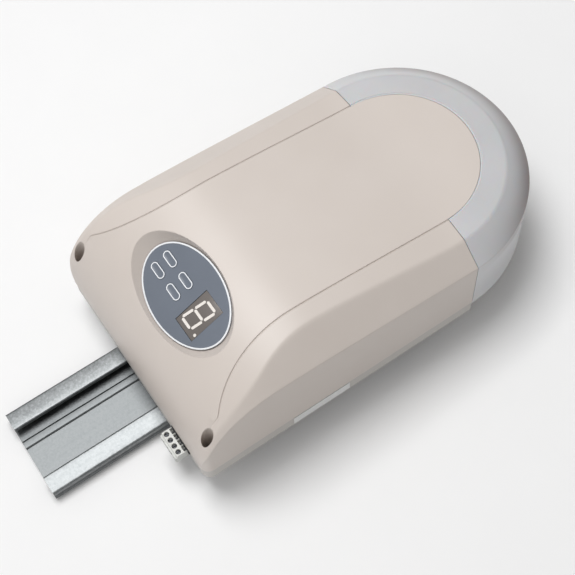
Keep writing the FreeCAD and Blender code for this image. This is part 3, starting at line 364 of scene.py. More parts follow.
def frosted_lens(colours):
    """Opal polycarbonate: milky, softly mirroring, with painted shade greying its rear chamfer in place of a dark
    reflection.
    """
    material, tree, surface, where = blank(
        "polycarbonate_opal", ior=1.585, coat_weight=0.35, coat_roughness=0.12,
        subsurface_weight=0.25, subsurface_scale=0.004)
    wide = add(tree, "ShaderNodeTexNoise", {"Vector": where, "Scale": per(45.0), "Detail": 2.0})
    mixed = two_tones(tree, surface, wide.outputs["Fac"], colours.lens_dark, colours.lens_light)
    place = add(tree, "ShaderNodeSeparateXYZ", {"Vector": where})
    shade = None
    for axis, clear, full in LENS_PAINTED_SHADE:
        step = add(tree, "ShaderNodeMapRange", {
            "Value": place.outputs[axis], "From Min": clear * MM, "From Max": full * MM},
            interpolation_type="SMOOTHSTEP").outputs["Result"]
        if shade:
            step = add(tree, "ShaderNodeMath", {0: shade, 1: step}, operation="MULTIPLY").outputs[0]
        shade = step
    # painted shade: the darker tone is mixed in where the mask is full, darkening the rear chamfer
    rim = add(tree, "ShaderNodeMix", {"Factor": shade}, data_type="RGBA")
    tree.links.new(mixed.outputs[2], rim.inputs[6])
    rim.inputs[7].default_value = colour(colours.lens_painted_shade)
    tree.links.new(rim.outputs[2], surface.inputs["Base Color"])
    fine = add(tree, "ShaderNodeTexNoise", {"Vector": where, "Scale": per(0.7), "Detail": 2.0})
    gloss = add(tree, "ShaderNodeMapRange", {
        "Value": fine.outputs["Fac"], "To Min": 0.3, "To Max": 0.4})
    tree.links.new(gloss.outputs["Result"], surface.inputs["Roughness"])
    return material


def printed_sheet(colours):
    """Blue-grey ink under a hard-coated polycarbonate sheet: even, with a fine emboss."""
    return moulded("polycarbonate_sheet_printed", colours.panel_dark, colours.panel_light, 0.34,
                   grain=0.35, depth=0.006, mottle=25.0)


def white_ink():
    """Screen-printed white ink, slightly raised and uneven."""
    return moulded("screen_ink_white", "#dfe3e8", "#f6f7f9", 0.4, grain=0.4, depth=0.01, mottle=3.0)


def galvanised(colours):
    """Hot-dip galvanised sheet: fine spangle, faint roller lines, and painted shade low in the channel."""
    material, tree, surface, where = blank("steel_galvanised", metallic=1.0)
    spangle = add(tree, "ShaderNodeTexVoronoi", {"Vector": where, "Scale": per(1.4)},
                  feature="SMOOTH_F1")
    drawn = add(tree, "ShaderNodeMapping", {"Vector": where, "Scale": (1.0, 0.02, 1.0)})
    lines = add(tree, "ShaderNodeTexNoise", {
        "Vector": drawn.outputs["Vector"], "Scale": per(2.2), "Detail": 4.0})
    speck = add(tree, "ShaderNodeTexNoise", {"Vector": where, "Scale": per(0.9), "Detail": 4.0})
    rough = add(tree, "ShaderNodeMath", {0: speck.outputs["Fac"], 1: lines.outputs["Fac"]},
                operation="MULTIPLY")
    grains = add(tree, "ShaderNodeSeparateColor", {"Color": spangle.outputs["Color"]})
    share = add(tree, "ShaderNodeMath", {0: grains.outputs["Red"], 1: 0.35, 2: rough.outputs[0]},
                operation="MULTIPLY_ADD")
    tones = add(tree, "ShaderNodeMapRange", {
        "Value": share.outputs[0], "From Min": 0.1, "From Max": 0.65})
    mixed = two_tones(tree, surface, tones.outputs["Result"], colours.zinc_dark, colours.zinc_light)
    height = add(tree, "ShaderNodeSeparateXYZ", {"Vector": where})
    # painted shade: the tone greys towards the channel's floor, under the lips
    floor_painted_shade = add(tree, "ShaderNodeMapRange", {
        "Value": height.outputs["Z"], "From Min": RAIL_LOW.z + 3.5 * MM,
        "From Max": RAIL_HIGH.z - 2.5 * MM, "To Min": 0.5, "To Max": 0.0})
    greyed = add(tree, "ShaderNodeMix", {"Factor": floor_painted_shade.outputs["Result"]}, data_type="RGBA")
    tree.links.new(mixed.outputs[2], greyed.inputs[6])
    greyed.inputs[7].default_value = colour(colours.zinc_painted_shade)
    tree.links.new(greyed.outputs[2], surface.inputs["Base Color"])
    gloss = add(tree, "ShaderNodeMapRange", {
        "Value": share.outputs[0], "To Min": 0.38, "To Max": 0.54})
    tree.links.new(gloss.outputs["Result"], surface.inputs["Roughness"])
    bump = add(tree, "ShaderNodeBump", {
        "Strength": 0.25, "Distance": 0.02 * MM, "Height": rough.outputs[0]})
    tree.links.new(bump.outputs["Normal"], surface.inputs["Normal"])
    return material


# --- Finishes of the inside ---------------------------------------------------------
def board_green():
    """Fibreglass board: solder resist over copper tracks, which show as a lighter green."""
    material, tree, surface, where = blank("fibreglass_solder_resist", ior=1.5, roughness=0.35)
    tracks = add(tree, "ShaderNodeTexBrick", {
        "Vector": where, "Scale": per(18.0),
        "Color1": colour("#155233"), "Color2": colour("#1a5e3b"),
        "Mortar": colour("#2c7d50"), "Mortar Size": 0.035, "Brick Width": 0.9, "Row Height": 0.14})
    weave = add(tree, "ShaderNodeTexNoise", {"Vector": where, "Scale": per(1.2)})
    bump = add(tree, "ShaderNodeBump", {
        "Strength": 0.2, "Distance": 0.02 * MM, "Height": weave.outputs["Fac"]})
    tree.links.new(tracks.outputs["Color"], surface.inputs["Base Color"])
    tree.links.new(bump.outputs["Normal"], surface.inputs["Normal"])
    return material


def striped(name, dark, light, pitch, direction, metallic, roughness):
    """Wound wire or stacked plates: even ridges one pitch apart, dark in the gaps."""
    material, tree, surface, where = blank(name, metallic=metallic, roughness=roughness)
    ridges = add(tree, "ShaderNodeTexWave", {"Vector": where, "Scale": per(pitch) / 20.0 * math.pi,
                                            "Distortion": 0.4, "Detail": 1.0},
                 wave_type="BANDS", bands_direction=direction)
    two_tones(tree, surface, ridges.outputs["Fac"], dark, light)
    bump = add(tree, "ShaderNodeBump", {
        "Strength": 0.6, "Distance": 0.15 * pitch * MM, "Height": ridges.outputs["Fac"]})
    tree.links.new(bump.outputs["Normal"], surface.inputs["Normal"])
    return material


def inner_finishes():
    """Each inner finish by the name of the record's slot that it serves."""
    turned = (1.0, 1.0, 0.08)
    return {
        "black_plastic": moulded("pbt_moulded_black", "#161719", "#202225", 0.45, grain=0.5),
        "white_plastic": moulded("polyamide_natural_white", "#c6c7c3", "#dbdcd8", 0.42,
                                 grain=0.4, mottle=6.0),
        "dark_plastic": moulded("epoxy_face_grey", "#69635f", "#736d69", 0.3,
                                grain=0.4, mottle=8.0),
        "segments": moulded("epoxy_diffuser_white", "#e3dcd5", "#f3eee8", 0.35,
                            grain=0.4, mottle=3.0),
        "fastener": worked_metal("steel_zinc_plated", "#6d6f73", "#9fa1a5", 0.34, turned, 0.5),
        # the screws are real steel, but their dark tone is painted shade standing in for the shade down in the
        # plug's wells
        "terminal": worked_metal("steel_darkened_painted_shade", "#4c4d50", "#77797c", 0.55, grain=0.5),
        "steel": worked_metal("steel_turned", "#7d7f83", "#b4b6ba", 0.3, turned, 0.4),
        "casting": worked_metal("aluminium_die_cast", "#8f9296", "#b3b6b9", 0.5,
                                grain=0.9, depth=0.04),
        "bronze": worked_metal("bronze_hobbed", "#8a6231", "#bb8e4d", 0.33, turned, 0.5),
        "magnet": moulded("ferrite_sintered", "#2a2a2d", "#3a3a3e", 0.6, grain=0.8, depth=0.03),
        "can": worked_metal("steel_blackened", "#35373b", "#55585d", 0.4, (1.0, 0.05, 1.0), 0.7),
        "led": moulded("silicone_phosphor", "#e0cf7c", "#f2e6a6", 0.35, grain=0.5, mottle=2.0),
        "label": moulded("vinyl_label_white", "#d9d9d8", "#ececeb", 0.38, grain=0.5, mottle=4.0),
        "heatsink": worked_metal("aluminium_extruded", "#6f7276", "#96999d", 0.4,
                                 (1.0, 0.05, 1.0), 0.8),
        "board": board_green(),
        "copper": striped("copper_wire_enamelled", "#6b2f18", "#c26f3f", 0.8, "Z", 0.9, 0.35),
        "core": striped("steel_laminated", "#3f4146", "#7a7c81", 0.7, "X", 0.9, 0.45),
    }


# --- The cover ------------------------------------------------------------------------
def fall(past, slope, turn):
    """How far a line has dropped this far past its start, bending slowly to its slope."""
    return slope * past * past / (past + turn)


def nose(y, length, lead, top):
    """Height of a quarter ellipse that rises from the front edge."""
    u = min(1.0, (length - y) / (length + lead))
    return NOSE_FOOT + (top - NOSE_FOOT) * math.sqrt(1.0 - u * u)


def crown(y, lead=0.0):
    """Height of the crown along the head; with a lead the nose starts before the front edge."""
    if y < NOSE:
        return nose(y, NOSE, lead, CROWN_TOP)
    end = CROWN_TOP - fall(REAR_Y - NOSE, CROWN_FALL, CROWN_TURN)
    height = CROWN_TOP - fall(y - NOSE, CROWN_FALL, CROWN_TURN)
    near = max(0.0, 1.0 - abs(y - REAR_Y) / CROWN_EASE)
    return max(height, end) + CROWN_FALL * CROWN_EASE * near * near / 4.0


def side_edge(y):
    """Height of the side wall's upper edge along the head."""
    if y < SIDE_NOSE:
        return nose(y, SIDE_NOSE, 0.0, SIDE_TOP)
    return SIDE_TOP - fall(y - SIDE_NOSE, SIDE_FALL, SIDE_TURN)


def soft_min(a, b, blend):
    """The lower of two heights, blended where they meet."""
    near = max(blend - abs(a - b), 0.0) / blend
    return min(a, b) - near * near * blend / 4.0


def wall_x(y):
    """Half width of the outline seen from above, round its front corners."""
    if y >= CORNER_R:
        return HALF_W
    return HALF_W - CORNER_R + math.sqrt(max(0.0, CORNER_R ** 2 - (CORNER_R - y) ** 2))


def spread(start, end, count, power=1.0):
    """Places from start towards end, without the end itself."""
    return [start + (end - start) * (i / count) ** power for i in range(count)]


def half_section(y, top, sizes):
    """Points of the cover's right half from its middle to its foot, across its length at y."""
    low = TRAY_TOP + FOOT_GAP
    lead = crown(y, BAND_LEAD)
    side = side_edge(y)
    wall = wall_x(y)
    lift = lead - crown(y)
    groove = min(BAND_X + lift / BAND_SLOPE, SCREW_X - 2.0)
    width = sizes.groove_width / MM
    deep = sizes.groove_depth / MM * min(1.0, max(0.0, (y - 15.0) / 9.0))

    def height(x):
        band = lead - (x - BAND_X) * BAND_SLOPE
        flank = side + (HALF_W - x) * SIDE_SLOPE
        return soft_min(min(top, band), flank, sizes.crease / MM)

    crossing = max(
        HALF_W - (top - side) / SIDE_SLOPE,
        (side + HALF_W * SIDE_SLOPE - lead - BAND_X * BAND_SLOPE) / (SIDE_SLOPE - BAND_SLOPE),
    )
    radius = sizes.edge_radius / MM * min(1.0, y / 12.0)
    slope = math.atan((height(wall - 0.5) - height(wall)) / 0.5)
    reach = radius * math.tan((math.pi / 2.0 - slope) / 2.0)
    last = wall - reach * math.cos(slope)
    soft = min(1.3 * sizes.crease / MM, 0.3 * (last - groove))
    crossing = min(max(crossing, groove + width + soft), last - soft)
    xs = spread(0.0, groove - 0.5 * width, 12)
    line = [(x, height(x)) for x in xs]
    for share, depth in ((-0.5, 0.0), (-0.4, 0.35), (-0.22, 0.95),
                         (0.22, 0.95), (0.4, 0.35), (0.5, 0.0)):
        x = groove + share * width
        line.append((x, height(x) - depth * deep))
    xs = spread(groove + 0.5 * width, crossing - soft, 7)[1:]
    xs += spread(crossing - soft, crossing + soft, 8)
    xs += spread(crossing + soft, last, 7)
    line += [(x, height(x)) for x in xs]
    centre = (last - radius * math.sin(slope), height(last) - radius * math.cos(slope))
    for i in range(7):
        turn = slope + (math.pi / 2.0 - slope) * i / 6.0
        line.append((centre[0] + radius * math.sin(turn), centre[1] + radius * math.cos(turn)))
    foot_x, foot_z = line[-1]
    line += [(foot_x, z) for z in spread(foot_z, low, 5)[1:] + [low]]
    return [(x, max(z, low)) for x, z in line]


def cover_stations():
    """Each station along the head and the crown's height there."""
    low = TRAY_TOP + FOOT_GAP
    stations = [(0.0, low), (0.0, 0.5 * (low + NOSE_FOOT)), (0.0, NOSE_FOOT)]
    for i in range(1, 53):
        y = NOSE * (1.0 - math.cos(math.pi / 2.0 * i / 52.0))
        stations.append((y, crown(y)))
    for y in spread(NOSE, REAR_Y - 0.5 * SEAM, 44)[1:] + [REAR_Y - 0.5 * SEAM]:
        stations.append((y, crown(y)))
    return stations


def open_edges(obj):
    """The vertex pairs of the edges that only one face uses."""
    uses = {}
    for face in obj.data.polygons:
        for key in face.edge_keys:
            uses[key] = uses.get(key, 0) + 1
    return {key for key, count in uses.items() if count == 1}


def cover_skin(sizes):
    """Outer skin of the cover with the round tongue that its crown ends in."""
    rows = []
    for y, top in cover_stations():
        half = half_section(y, top, sizes)
        row = [(-x, y, z) for x, z in reversed(half[1:])] + [(x, y, z) for x, z in half]
        rows.append(row)
    skin = sheet_through(rows)
    last = rows[-1]
    middle = len(last) // 2
    inner = last[middle - 12:middle + 13]
    reach = inner[-1][0]
    start_y = last[0][1]
    tongue_rows = []
    for i in range(29):
        turn = math.pi / 2.0 * i / 28.0
        y = start_y + reach * math.sin(turn)
        tongue_rows.append([(x * math.cos(turn), y, crown(y)) for x, _, _ in inner])
    tongue = sheet_through(tongue_rows)
    heal(tongue)
    rim = open_edges(tongue)
    behind = (start_y + 0.01) * MM
    pick(tongue, "EDGE", lambda e: tuple(sorted(e.vertices)) in rim and any(
        tongue.data.vertices[i].co.y > behind for i in e.vertices))
    for drop in (0.15, 1.0, 7.0):
        bpy.ops.mesh.extrude_edges_move(TRANSFORM_OT_translate={"value": (0.0, 0.0, -drop * MM)})
    done()
    join(skin, [tongue])
    heal(skin)
    return skin


def closed_copy(obj):
    """The skin as a closed solid, to trim what stands inside it."""
    only(obj)
    bpy.ops.object.duplicate()
    solid = bpy.context.object
    rim = open_edges(solid)
    pick(solid, "EDGE", lambda e: tuple(sorted(e.vertices)) in rim)
    bpy.ops.mesh.edge_face_add()
    bpy.ops.mesh.select_all(action="SELECT")
    bpy.ops.mesh.normals_make_consistent(inside=False)
    done()
    return solid


def rod(radius, low, high, x=0.0, y=0.0, vertices=48):
    """An upright cylinder in millimetres."""
    return start(
        bpy.ops.mesh.primitive_cylinder_add, vertices=vertices, radius=radius * MM,
        depth=(high - low) * MM, location=(x * MM, y * MM, 0.5 * (low + high) * MM))


def block(x0, x1, y0, y1, z0, z1):
    """A box between these planes, in millimetres."""
    obj = start(bpy.ops.mesh.primitive_cube_add, size=1.0)
    obj.scale = ((x1 - x0) * MM, (y1 - y0) * MM, (z1 - z0) * MM)
    obj.location = (0.5 * (x0 + x1) * MM, 0.5 * (y0 + y1) * MM, 0.5 * (z0 + z1) * MM)
    settle(obj)
    return obj


def oval(rx, ry, low, high, flare_x=0.0, flare_y=0.0, vertices=128):
    """An oval plug in millimetres, wider at its top by the flares times its height."""
    obj = rod(1.0 / MM, low, high, vertices=vertices)
    obj.scale = (rx * MM, ry * MM, 1.0)
    settle(obj)
    pick(obj, "FACE", lambda f: f.normal.z > 0.9)
    span = high - low
    bpy.ops.transform.resize(value=((rx + flare_x * span) / rx, (ry + flare_y * span) / ry, 1.0))
    done()
    return obj


def stadium(length, width, low, high, x=0.0, y=0.0):
    """A plug with round ends in millimetres."""
    obj = rod(0.5 * width, low, high, vertices=50)
    settle(obj)
    for side in (1.0, -1.0):
        pick(obj, "VERT", lambda v: v.co.x * side > 0.0)
        bpy.ops.transform.translate(value=(side * 0.5 * (length - width) * MM, 0.0, 0.0))
        done()
    obj.location = (x * MM, y * MM, 0.0)
    settle(obj)
    return obj


def panel_place():
    """Where the panel's own frame lies in the head's."""
    press = next(j for j in frame["joints"] if j["name"] == "set_press")["axis"]
    tilt = math.atan2(press[1], -press[2])
    low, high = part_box("panel_ring")
    ring_middle = Vector((0.0, -math.sin(tilt), math.cos(tilt))) * 0.1 * MM
    centre = (low + high) / 2.0 + ring_middle
    return Matrix.Translation(centre) @ Matrix.Rotation(tilt, 4, "X")


def to_panel(obj):
    """Carry a piece from the panel's own frame into the head."""
    only(obj)
    obj.matrix_world = panel_place() @ obj.matrix_world
    bpy.ops.object.transform_apply(location=True, rotation=True, scale=True)
    return obj


KEY_WELL = (17.4, 9.4)               # length and width, as the two below
KEY_FLANGE = (16.2, 8.4)
KEY_OPENING = (14.5, 6.7)
KEYS = {"button_set": (-28.0, 5.8), "button_learn": (-28.0, -5.8),
        "button_up": (-8.0, 5.8), "button_down": (-8.0, -5.8)}
KEY_BODIES = {"button_set": "set_key", "button_learn": "learn_key",
              "button_up": "up_key", "button_down": "down_key"}
DISPLAY = (17.9, -0.9, 20.2, 29.0)   # middle in x and y, width and height


def display_block(margin, low, high):
    """A box round the display, in the panel's own frame."""
    x, y, w, h = DISPLAY
    return block(x - w / 2 - margin, x + w / 2 + margin,
                 y - h / 2 - margin, y + h / 2 + margin, low, high)


def build_cover(sizes, material):
    """Skin with its wall, the pan of the panel's recess and two screw bosses set into it."""
    skin = cover_skin(sizes)
    solid = closed_copy(skin)
    only(solid)
    bpy.ops.transform.translate(value=TRIM)
    modify(skin, "SOLIDIFY", thickness=WALL * MM, offset=-1.0, use_even_offset=False,
           use_quality_normals=True)
    pan = to_panel(oval(PANEL_RX + RECESS_WALL, PANEL_RY + RECESS_WALL, -PANEL_T - 2.0, 20.0,
                        *RECESS_FLARE))
    modify(pan, "BOOLEAN", object=solid, operation="INTERSECT", solver="EXACT")
    combine(skin, pan, "UNION")
    bosses = []
    for x in (SCREW_X, -SCREW_X):
        boss = rod(BOSS_R, TRAY_TOP + 2.0, 80.0, x, SCREW_Y)
        modify(boss, "BOOLEAN", object=solid, operation="INTERSECT", solver="EXACT")
        combine(boss, rod(SCREW_WELL_R + BOSS_GAP, SCREW_SEAT, 120.0, x, SCREW_Y), "DIFFERENCE")
        combine(boss, rod(SCREW_HOLE_R, 0.0, 60.0, x, SCREW_Y, vertices=24), "DIFFERENCE")
        bosses.append(boss)
    bpy.data.objects.remove(solid)
    tools = [to_panel(oval(PANEL_RX + RECESS_GAP, PANEL_RY + RECESS_GAP, -PANEL_T, 30.0,
                           *RECESS_FLARE))]
    for x in (SCREW_X, -SCREW_X):
        tools.append(rod(SCREW_WELL_R, SCREW_SEAT, 120.0, x, SCREW_Y))
        tools.append(rod(SCREW_HOLE_R, 0.0, 60.0, x, SCREW_Y, vertices=24))
    for x, y in KEYS.values():
        tools.append(to_panel(stadium(*KEY_WELL, -9.0, 3.0, x, y)))
    tools.append(to_panel(display_block(0.4, -9.0, 3.0)))
    for tool in tools:
        combine(skin, tool, "DIFFERENCE")
    join(skin, bosses)
    smooth(skin)
    return finish(skin, "cover_shell", material, "head", ["main_cover"])


# --- The lens -------------------------------------------------------------------------
def build_lens(sizes, material):
    """Half ring with the cover's own section, and the groove's floor on its inner edge."""
    half = half_section(REAR_Y, crown(REAR_Y), sizes)
    start_x = BAND_X + 0.5 * sizes.groove_width / MM - 0.001
    section = [(x, z) for x, z in half if x > start_x]
    x, z = section[0]
    foot, gap = LENS_LOW.z / MM, sizes.groove_width / MM
    floor = [(x - 0.92 * gap, z - 0.5), (x - 0.6 * gap, z - 0.48), (x - 0.2 * gap, z - 0.4)]
    section = floor + section + [(HALF_W, foot + 0.5), (HALF_W - 0.2, foot)]
    rows = []
    for i in range(LENS_STEPS + 1):
        turn = math.pi * i / LENS_STEPS
        row = []
        for r, z in section:
            y = REAR_Y + max(r * math.sin(turn), 0.5 * SEAM)
            row.append((r * math.cos(turn), y, z))
        rows.append(row)
    lens = sheet_through(rows)
    modify(lens, "SOLIDIFY", thickness=WALL * MM, offset=-1.0)
    smooth(lens)
    return finish(lens, "lens_shell", material, "head", ["light_lens"])


# --- The panel --------------------------------------------------------------------------
def paint(obj, material, wanted):
    """Give the faces that pass the test another finish."""
    obj.data.materials.append(material)
    last = len(obj.data.materials) - 1
    for face in obj.data.polygons:
        if wanted(face):
            face.material_index = last


def raise_top(obj, *steps):
    """Inset the highest face again and again, and lift or sink what is inside each time."""
    top = max(face.center.z for face in obj.data.polygons)
    pick(obj, "FACE", lambda f: f.normal.z > 0.9 and f.center.z > top - 0.01 * MM)
    for inset, rise in steps:
        bpy.ops.mesh.inset(thickness=inset * MM, depth=0.0)
        if rise:
            bpy.ops.transform.translate(value=(0.0, 0.0, rise * MM))
    done()


def extrude_top(rise):
    """Pull the face that raise_top left selected up, walls and all."""
    bpy.ops.object.mode_set(mode="EDIT")
    bpy.ops.mesh.extrude_region_move(TRANSFORM_OT_translate={"value": (0.0, 0.0, rise * MM)})
    done()


def build_panel(material, ink):
    """The oval sheet with its key and display openings, and the white border on its edge."""
    plate = oval(PANEL_RX, PANEL_RY, -PANEL_T, -0.5)
    raise_top(plate, (1.25, 0.0))
    extrude_top(0.5)
    for x, y in KEYS.values():
        combine(plate, stadium(*KEY_OPENING, -5.0, 5.0, x, y), "DIFFERENCE")
    combine(plate, display_block(0.15, -5.0, 5.0), "DIFFERENCE")
    soften(plate, 0.12)
    smooth(plate, 40.0)
    modify(plate, "WEIGHTED_NORMAL", keep_sharp=True, weight=100)
    finish(to_panel(plate), "panel_sheet", material, "head", ["panel_plate"])
    ring = oval(PANEL_RX, PANEL_RY, -0.5, 0.35, vertices=160)
    hole = oval(PANEL_RX - RING_W, PANEL_RY - RING_W, -1.0, 1.0, vertices=160)
    combine(ring, hole, "DIFFERENCE")
    soften(ring, 0.22, 3)
    smooth(ring, 40.0)
    finish(to_panel(ring), "panel_border", ink, "head", ["panel_ring"])


def build_key(node, material, ink):
    """One key: flange, neck, soft-edged cap with its printed outline, and stem."""
    x, y = KEYS[node]
    key = stadium(*KEY_FLANGE, -PANEL_T - 1.3, -PANEL_T - 0.05)
    raise_top(key, (1.0, 0.0))
    extrude_top(PANEL_T + 0.3)
    raise_top(key, (0.1, 0.1), (0.15, 0.04))
    rim_low = max(face.center.z for face in key.data.polygons) - 0.001 * MM
    raise_top(key, (0.7, 0.0), (0.2, -0.12))
    stem = rod(1.8, -4.7, -PANEL_T - 1.0, vertices=32)
    combine(key, stem, "UNION")
    key.data.materials.append(material)
    paint(key, ink, lambda f: f.normal.z > 0.99 and f.center.z > rim_low)
    key.location = (x * MM, y * MM, 0.0)
    settle(key)
    smooth(key, 35.0)
    finish(to_panel(key), node + "_cap", None, KEY_BODIES[node], [node])


def build_display(material):
    """Module body with soft edges."""
    body = display_block(0.0, -9.0, -0.3)
    modify(body, "BEVEL", width=0.25 * MM, segments=2)
    smooth(body, 40.0)
    finish(to_panel(body), "display_body", material, "head", ["display_module"])


# --- The rail ---------------------------------------------------------------------------
def rail_line():
    """Middle line of the folded sheet, from one lip's edge to the other's."""
    half = 0.5 * RAIL_T
    x, top, low = RAIL_HIGH.x / MM - half, RAIL_HIGH.z / MM - half, RAIL_LOW.z / MM + half
    lip = x - RAIL_LIP
    side = [(lip, top - 2.2), (lip, top), (x, top - LIP_FALL), (x, top - 3.8), (x - 0.9, top - 4.8),
            (x - 0.9, low + 2.6), (x, low + 1.6), (x, low)]
    bead = [(-7.5, low), (-8.6, low + 1.0), (-13.1, low + 1.0), (-14.2, low)]
    left = [(-px, pz) for px, pz in reversed(side)]
    floor = [(x, low + 0.5), (x, low)] + bead + [left[0], (-x, low + 0.5)]
    return rounded(side, 1.5)[:-1] + rounded(floor, 0.9)[1:-1] + rounded(left, 1.5)[1:]


def build_rail(material):
    """Folded sheet along the middle line, with every bend rounded."""
    line = rail_line()
    y0, y1 = RAIL_LOW.y / MM, RAIL_HIGH.y / MM
    rows = [[(x, y, z) for x, z in line] for y in (y0, y0 + 0.5, 0.0, 0.5 * y1, y1 - 0.5, y1)]
    rail = sheet_through(rows)
    modify(rail, "SOLIDIFY", thickness=RAIL_T * MM, offset=0.0)
    smooth(rail, 35.0)
    finish(rail, "rail_sheet", material, "head", ["rail"])


# --- The terminal block -------------------------------------------------------------------
def build_terminal(material):
    """Four-pole plug: screw wells on top, wire holes and ribs in front, notches behind."""
    low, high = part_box("terminal_plug")
    x0, y0, z0 = (value / MM for value in low)
    x1, y1, z1 = (value / MM for value in high)
    middle = 0.5 * (x0 + x1)
    plug = block(x0, x1, y0, y1, z0, z1)
    tools = [block(x0 - 1.0, x1 + 1.0, y0 - 1.0, y0 + 1.6, z1 - 2.6, z1 + 1.0)]
    for i in range(POLES):
        x = middle + POLE * (i - 0.5 * (POLES - 1))
        tools.append(rod(1.95, 4.9, z1 + 1.0, x, WELL_Y, vertices=32))
        tools.append(block(x - 2.1, x + 2.1, y1 - 2.2, y1 + 1.0, z1 - 3.5, z1 + 1.0))
        tools.append(block(x - 1.6, x + 1.6, y0 - 1.0, -4.0, 1.6, 5.0))
        tools.append(block(x - 0.8, x + 0.8, -3.4, 0.0, 6.1, 7.7))
    for i in range(POLES + 1):
        x = middle + POLE * (i - 0.5 * POLES)
        tools.append(block(x - 0.35, x + 0.35, y0 - 0.5, y0 + 0.35, z0 - 1.0, z1 - 2.6))
        tools.append(block(x - 0.3, x + 0.3, y1 - 1.6, y1 + 1.0, z1 - 0.6, z1 + 1.0))
    for tool in tools:
        combine(plug, tool, "DIFFERENCE")
    soften(plug, 0.16)
    smooth(plug, 40.0)
    finish(plug, "terminal_body", material, "head", ["terminal_plug"])


def build_terminal_screws(material):
    """Four slotted screws, sunk in the plug's wells, each turned a little differently."""
    low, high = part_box("terminal_plug")
    middle, top = 0.5 * (low.x + high.x) / MM, high.z / MM - 1.5
    screws = []
    for i in range(POLES):
        screw = rod(1.55, 5.0, top, vertices=40)
        settle(screw)
        combine(screw, block(-3.0, 3.0, -0.4, 0.4, top - 0.9, top + 1.0), "DIFFERENCE")
        soften(screw, 0.15)
        screw.rotation_euler.z = math.radians(35.0 + 24.0 * i)
        screw.location = ((middle + POLE * (i - 0.5 * (POLES - 1))) * MM, WELL_Y * MM, 0.0)
        settle(screw)
        screws.append(screw)
    join(screws[0], screws[1:])
    smooth(screws[0], 40.0)
    finish(screws[0], "terminal_screw_set", material, "head", ["terminal_screws"])


# --- Sizes and colours --------------------------------------------------------------
class OpenerSizes(bpy.types.PropertyGroup):
    edge_radius: bpy.props.FloatProperty(
        name="Edge radius", description="Rounding where the cover's shoulder meets its wall",
        default=1.6 * MM, min=0.2 * MM, max=2.5 * MM, unit="LENGTH")
    crease: bpy.props.FloatProperty(
        name="Crease softness", description="Height over which the band blends into the shoulder",
        default=1.2 * MM, min=0.1 * MM, max=4.0 * MM, unit="LENGTH")
    groove_width: bpy.props.FloatProperty(
        name="Groove width", description="Width of the fine groove round the flat crown",
        default=1.1 * MM, min=0.4 * MM, max=3.0 * MM, unit="LENGTH")
    groove_depth: bpy.props.FloatProperty(
        name="Groove depth", description="Depth of the fine groove round the flat crown",
        default=0.8 * MM, min=0.1 * MM, max=1.6 * MM, unit="LENGTH")


class OpenerColours(bpy.types.PropertyGroup):
    cover_dark: bpy.props.StringProperty(
        name="Cover, dark", description="Darker tone of the cover",
        default="#cbc1b9")
    cover_light: bpy.props.StringProperty(
        name="Cover, light", description="Lighter tone of the cover",
        default="#d3cac3")
    tray_dark: bpy.props.StringProperty(
        name="Tray, dark", description="Darker tone of the tray",
        default="#bdb8b3")
    tray_light: bpy.props.StringProperty(
        name="Tray, light", description="Lighter tone of the tray",
        default="#c6c2bd")
    lens_dark: bpy.props.StringProperty(
        name="Lens, dark", description="Darker tone of the lens",
        default="#c2c2c4")
    lens_light: bpy.props.StringProperty(
        name="Lens, light", description="Lighter tone of the lens",
        default="#cdcdcf")
    # painted shade for the lens's rear chamfer, standing in for a dark reflection, not a tone of the lens itself
    lens_painted_shade: bpy.props.StringProperty(
        name="Lens, rim", description="Tone of the lens where the board behind it shades it",
        default="#857c7b")
    panel_dark: bpy.props.StringProperty(
        name="Panel, dark", description="Darker tone of the panel",
        default="#676e79")
    panel_light: bpy.props.StringProperty(
        name="Panel, light", description="Lighter tone of the panel",
        default="#717883")
    zinc_dark: bpy.props.StringProperty(
        name="Zinc, dark", description="Darker spangle of the rail",
        default="#6a6d6e")
    zinc_light: bpy.props.StringProperty(
        name="Zinc, light", description="Lighter spangle of the rail",
        default="#989b9c")
    # painted shade for the rail channel's floor, not a real tone of the zinc
    zinc_painted_shade: bpy.props.StringProperty(
        name="Zinc, dust", description="Tone of the dust on the rail's floor",
        default="#4e5152")


# --- Operators ---------------------------------------------------------------------
class OPENER_OT_finishes(bpy.types.Operator):
    """Give every piece of the frame its own finish"""
    bl_idname = "opener.finishes"
    bl_label = "Finishes"

    def execute(self, context):
        colours = context.scene.opener_colours
        finishes = inner_finishes()
        finishes["cover"] = champagne_abs(colours)
        finishes["tray"] = tray_abs(colours)
        finishes["lens"] = frosted_lens(colours)
        finishes["panel"] = printed_sheet(colours)
        finishes["white_print"] = white_ink()
        finishes["zinc"] = galvanised(colours)
        served = {p["node"]: p["material_slot"] for p in frame["record"]["subparts"]}
        for name, obj in frame["nodes"].items():
            for place in obj.material_slots:
                place.material = finishes[served[name]]
        return {"FINISHED"}


class OPENER_OT_cover(bpy.types.Operator):
    """Model the cover: skin, wall, panel recess and screw wells"""
    bl_idname = "opener.cover"
    bl_label = "Cover"

    def execute(self, context):
        build_cover(context.scene.opener_sizes, bpy.data.materials["abs_satin_champagne"])
        return {"FINISHED"}


class OPENER_OT_lens(bpy.types.Operator):
    """Model the half ring of the rear light"""
    bl_idname = "opener.lens"
    bl_label = "Lens"

    def execute(self, context):
        build_lens(context.scene.opener_sizes, bpy.data.materials["polycarbonate_opal"])
        return {"FINISHED"}


class OPENER_OT_panel(bpy.types.Operator):
    """Model the oval sheet, its border, the four keys and the display"""
    bl_idname = "opener.panel"
    bl_label = "Key panel"

    def execute(self, context):
        sheet = bpy.data.materials["polycarbonate_sheet_printed"]
        ink = bpy.data.materials["screen_ink_white"]
        build_panel(sheet, ink)
        for node in KEYS:
            build_key(node, sheet, ink)
        build_display(bpy.data.materials["epoxy_face_grey"])
        return {"FINISHED"}


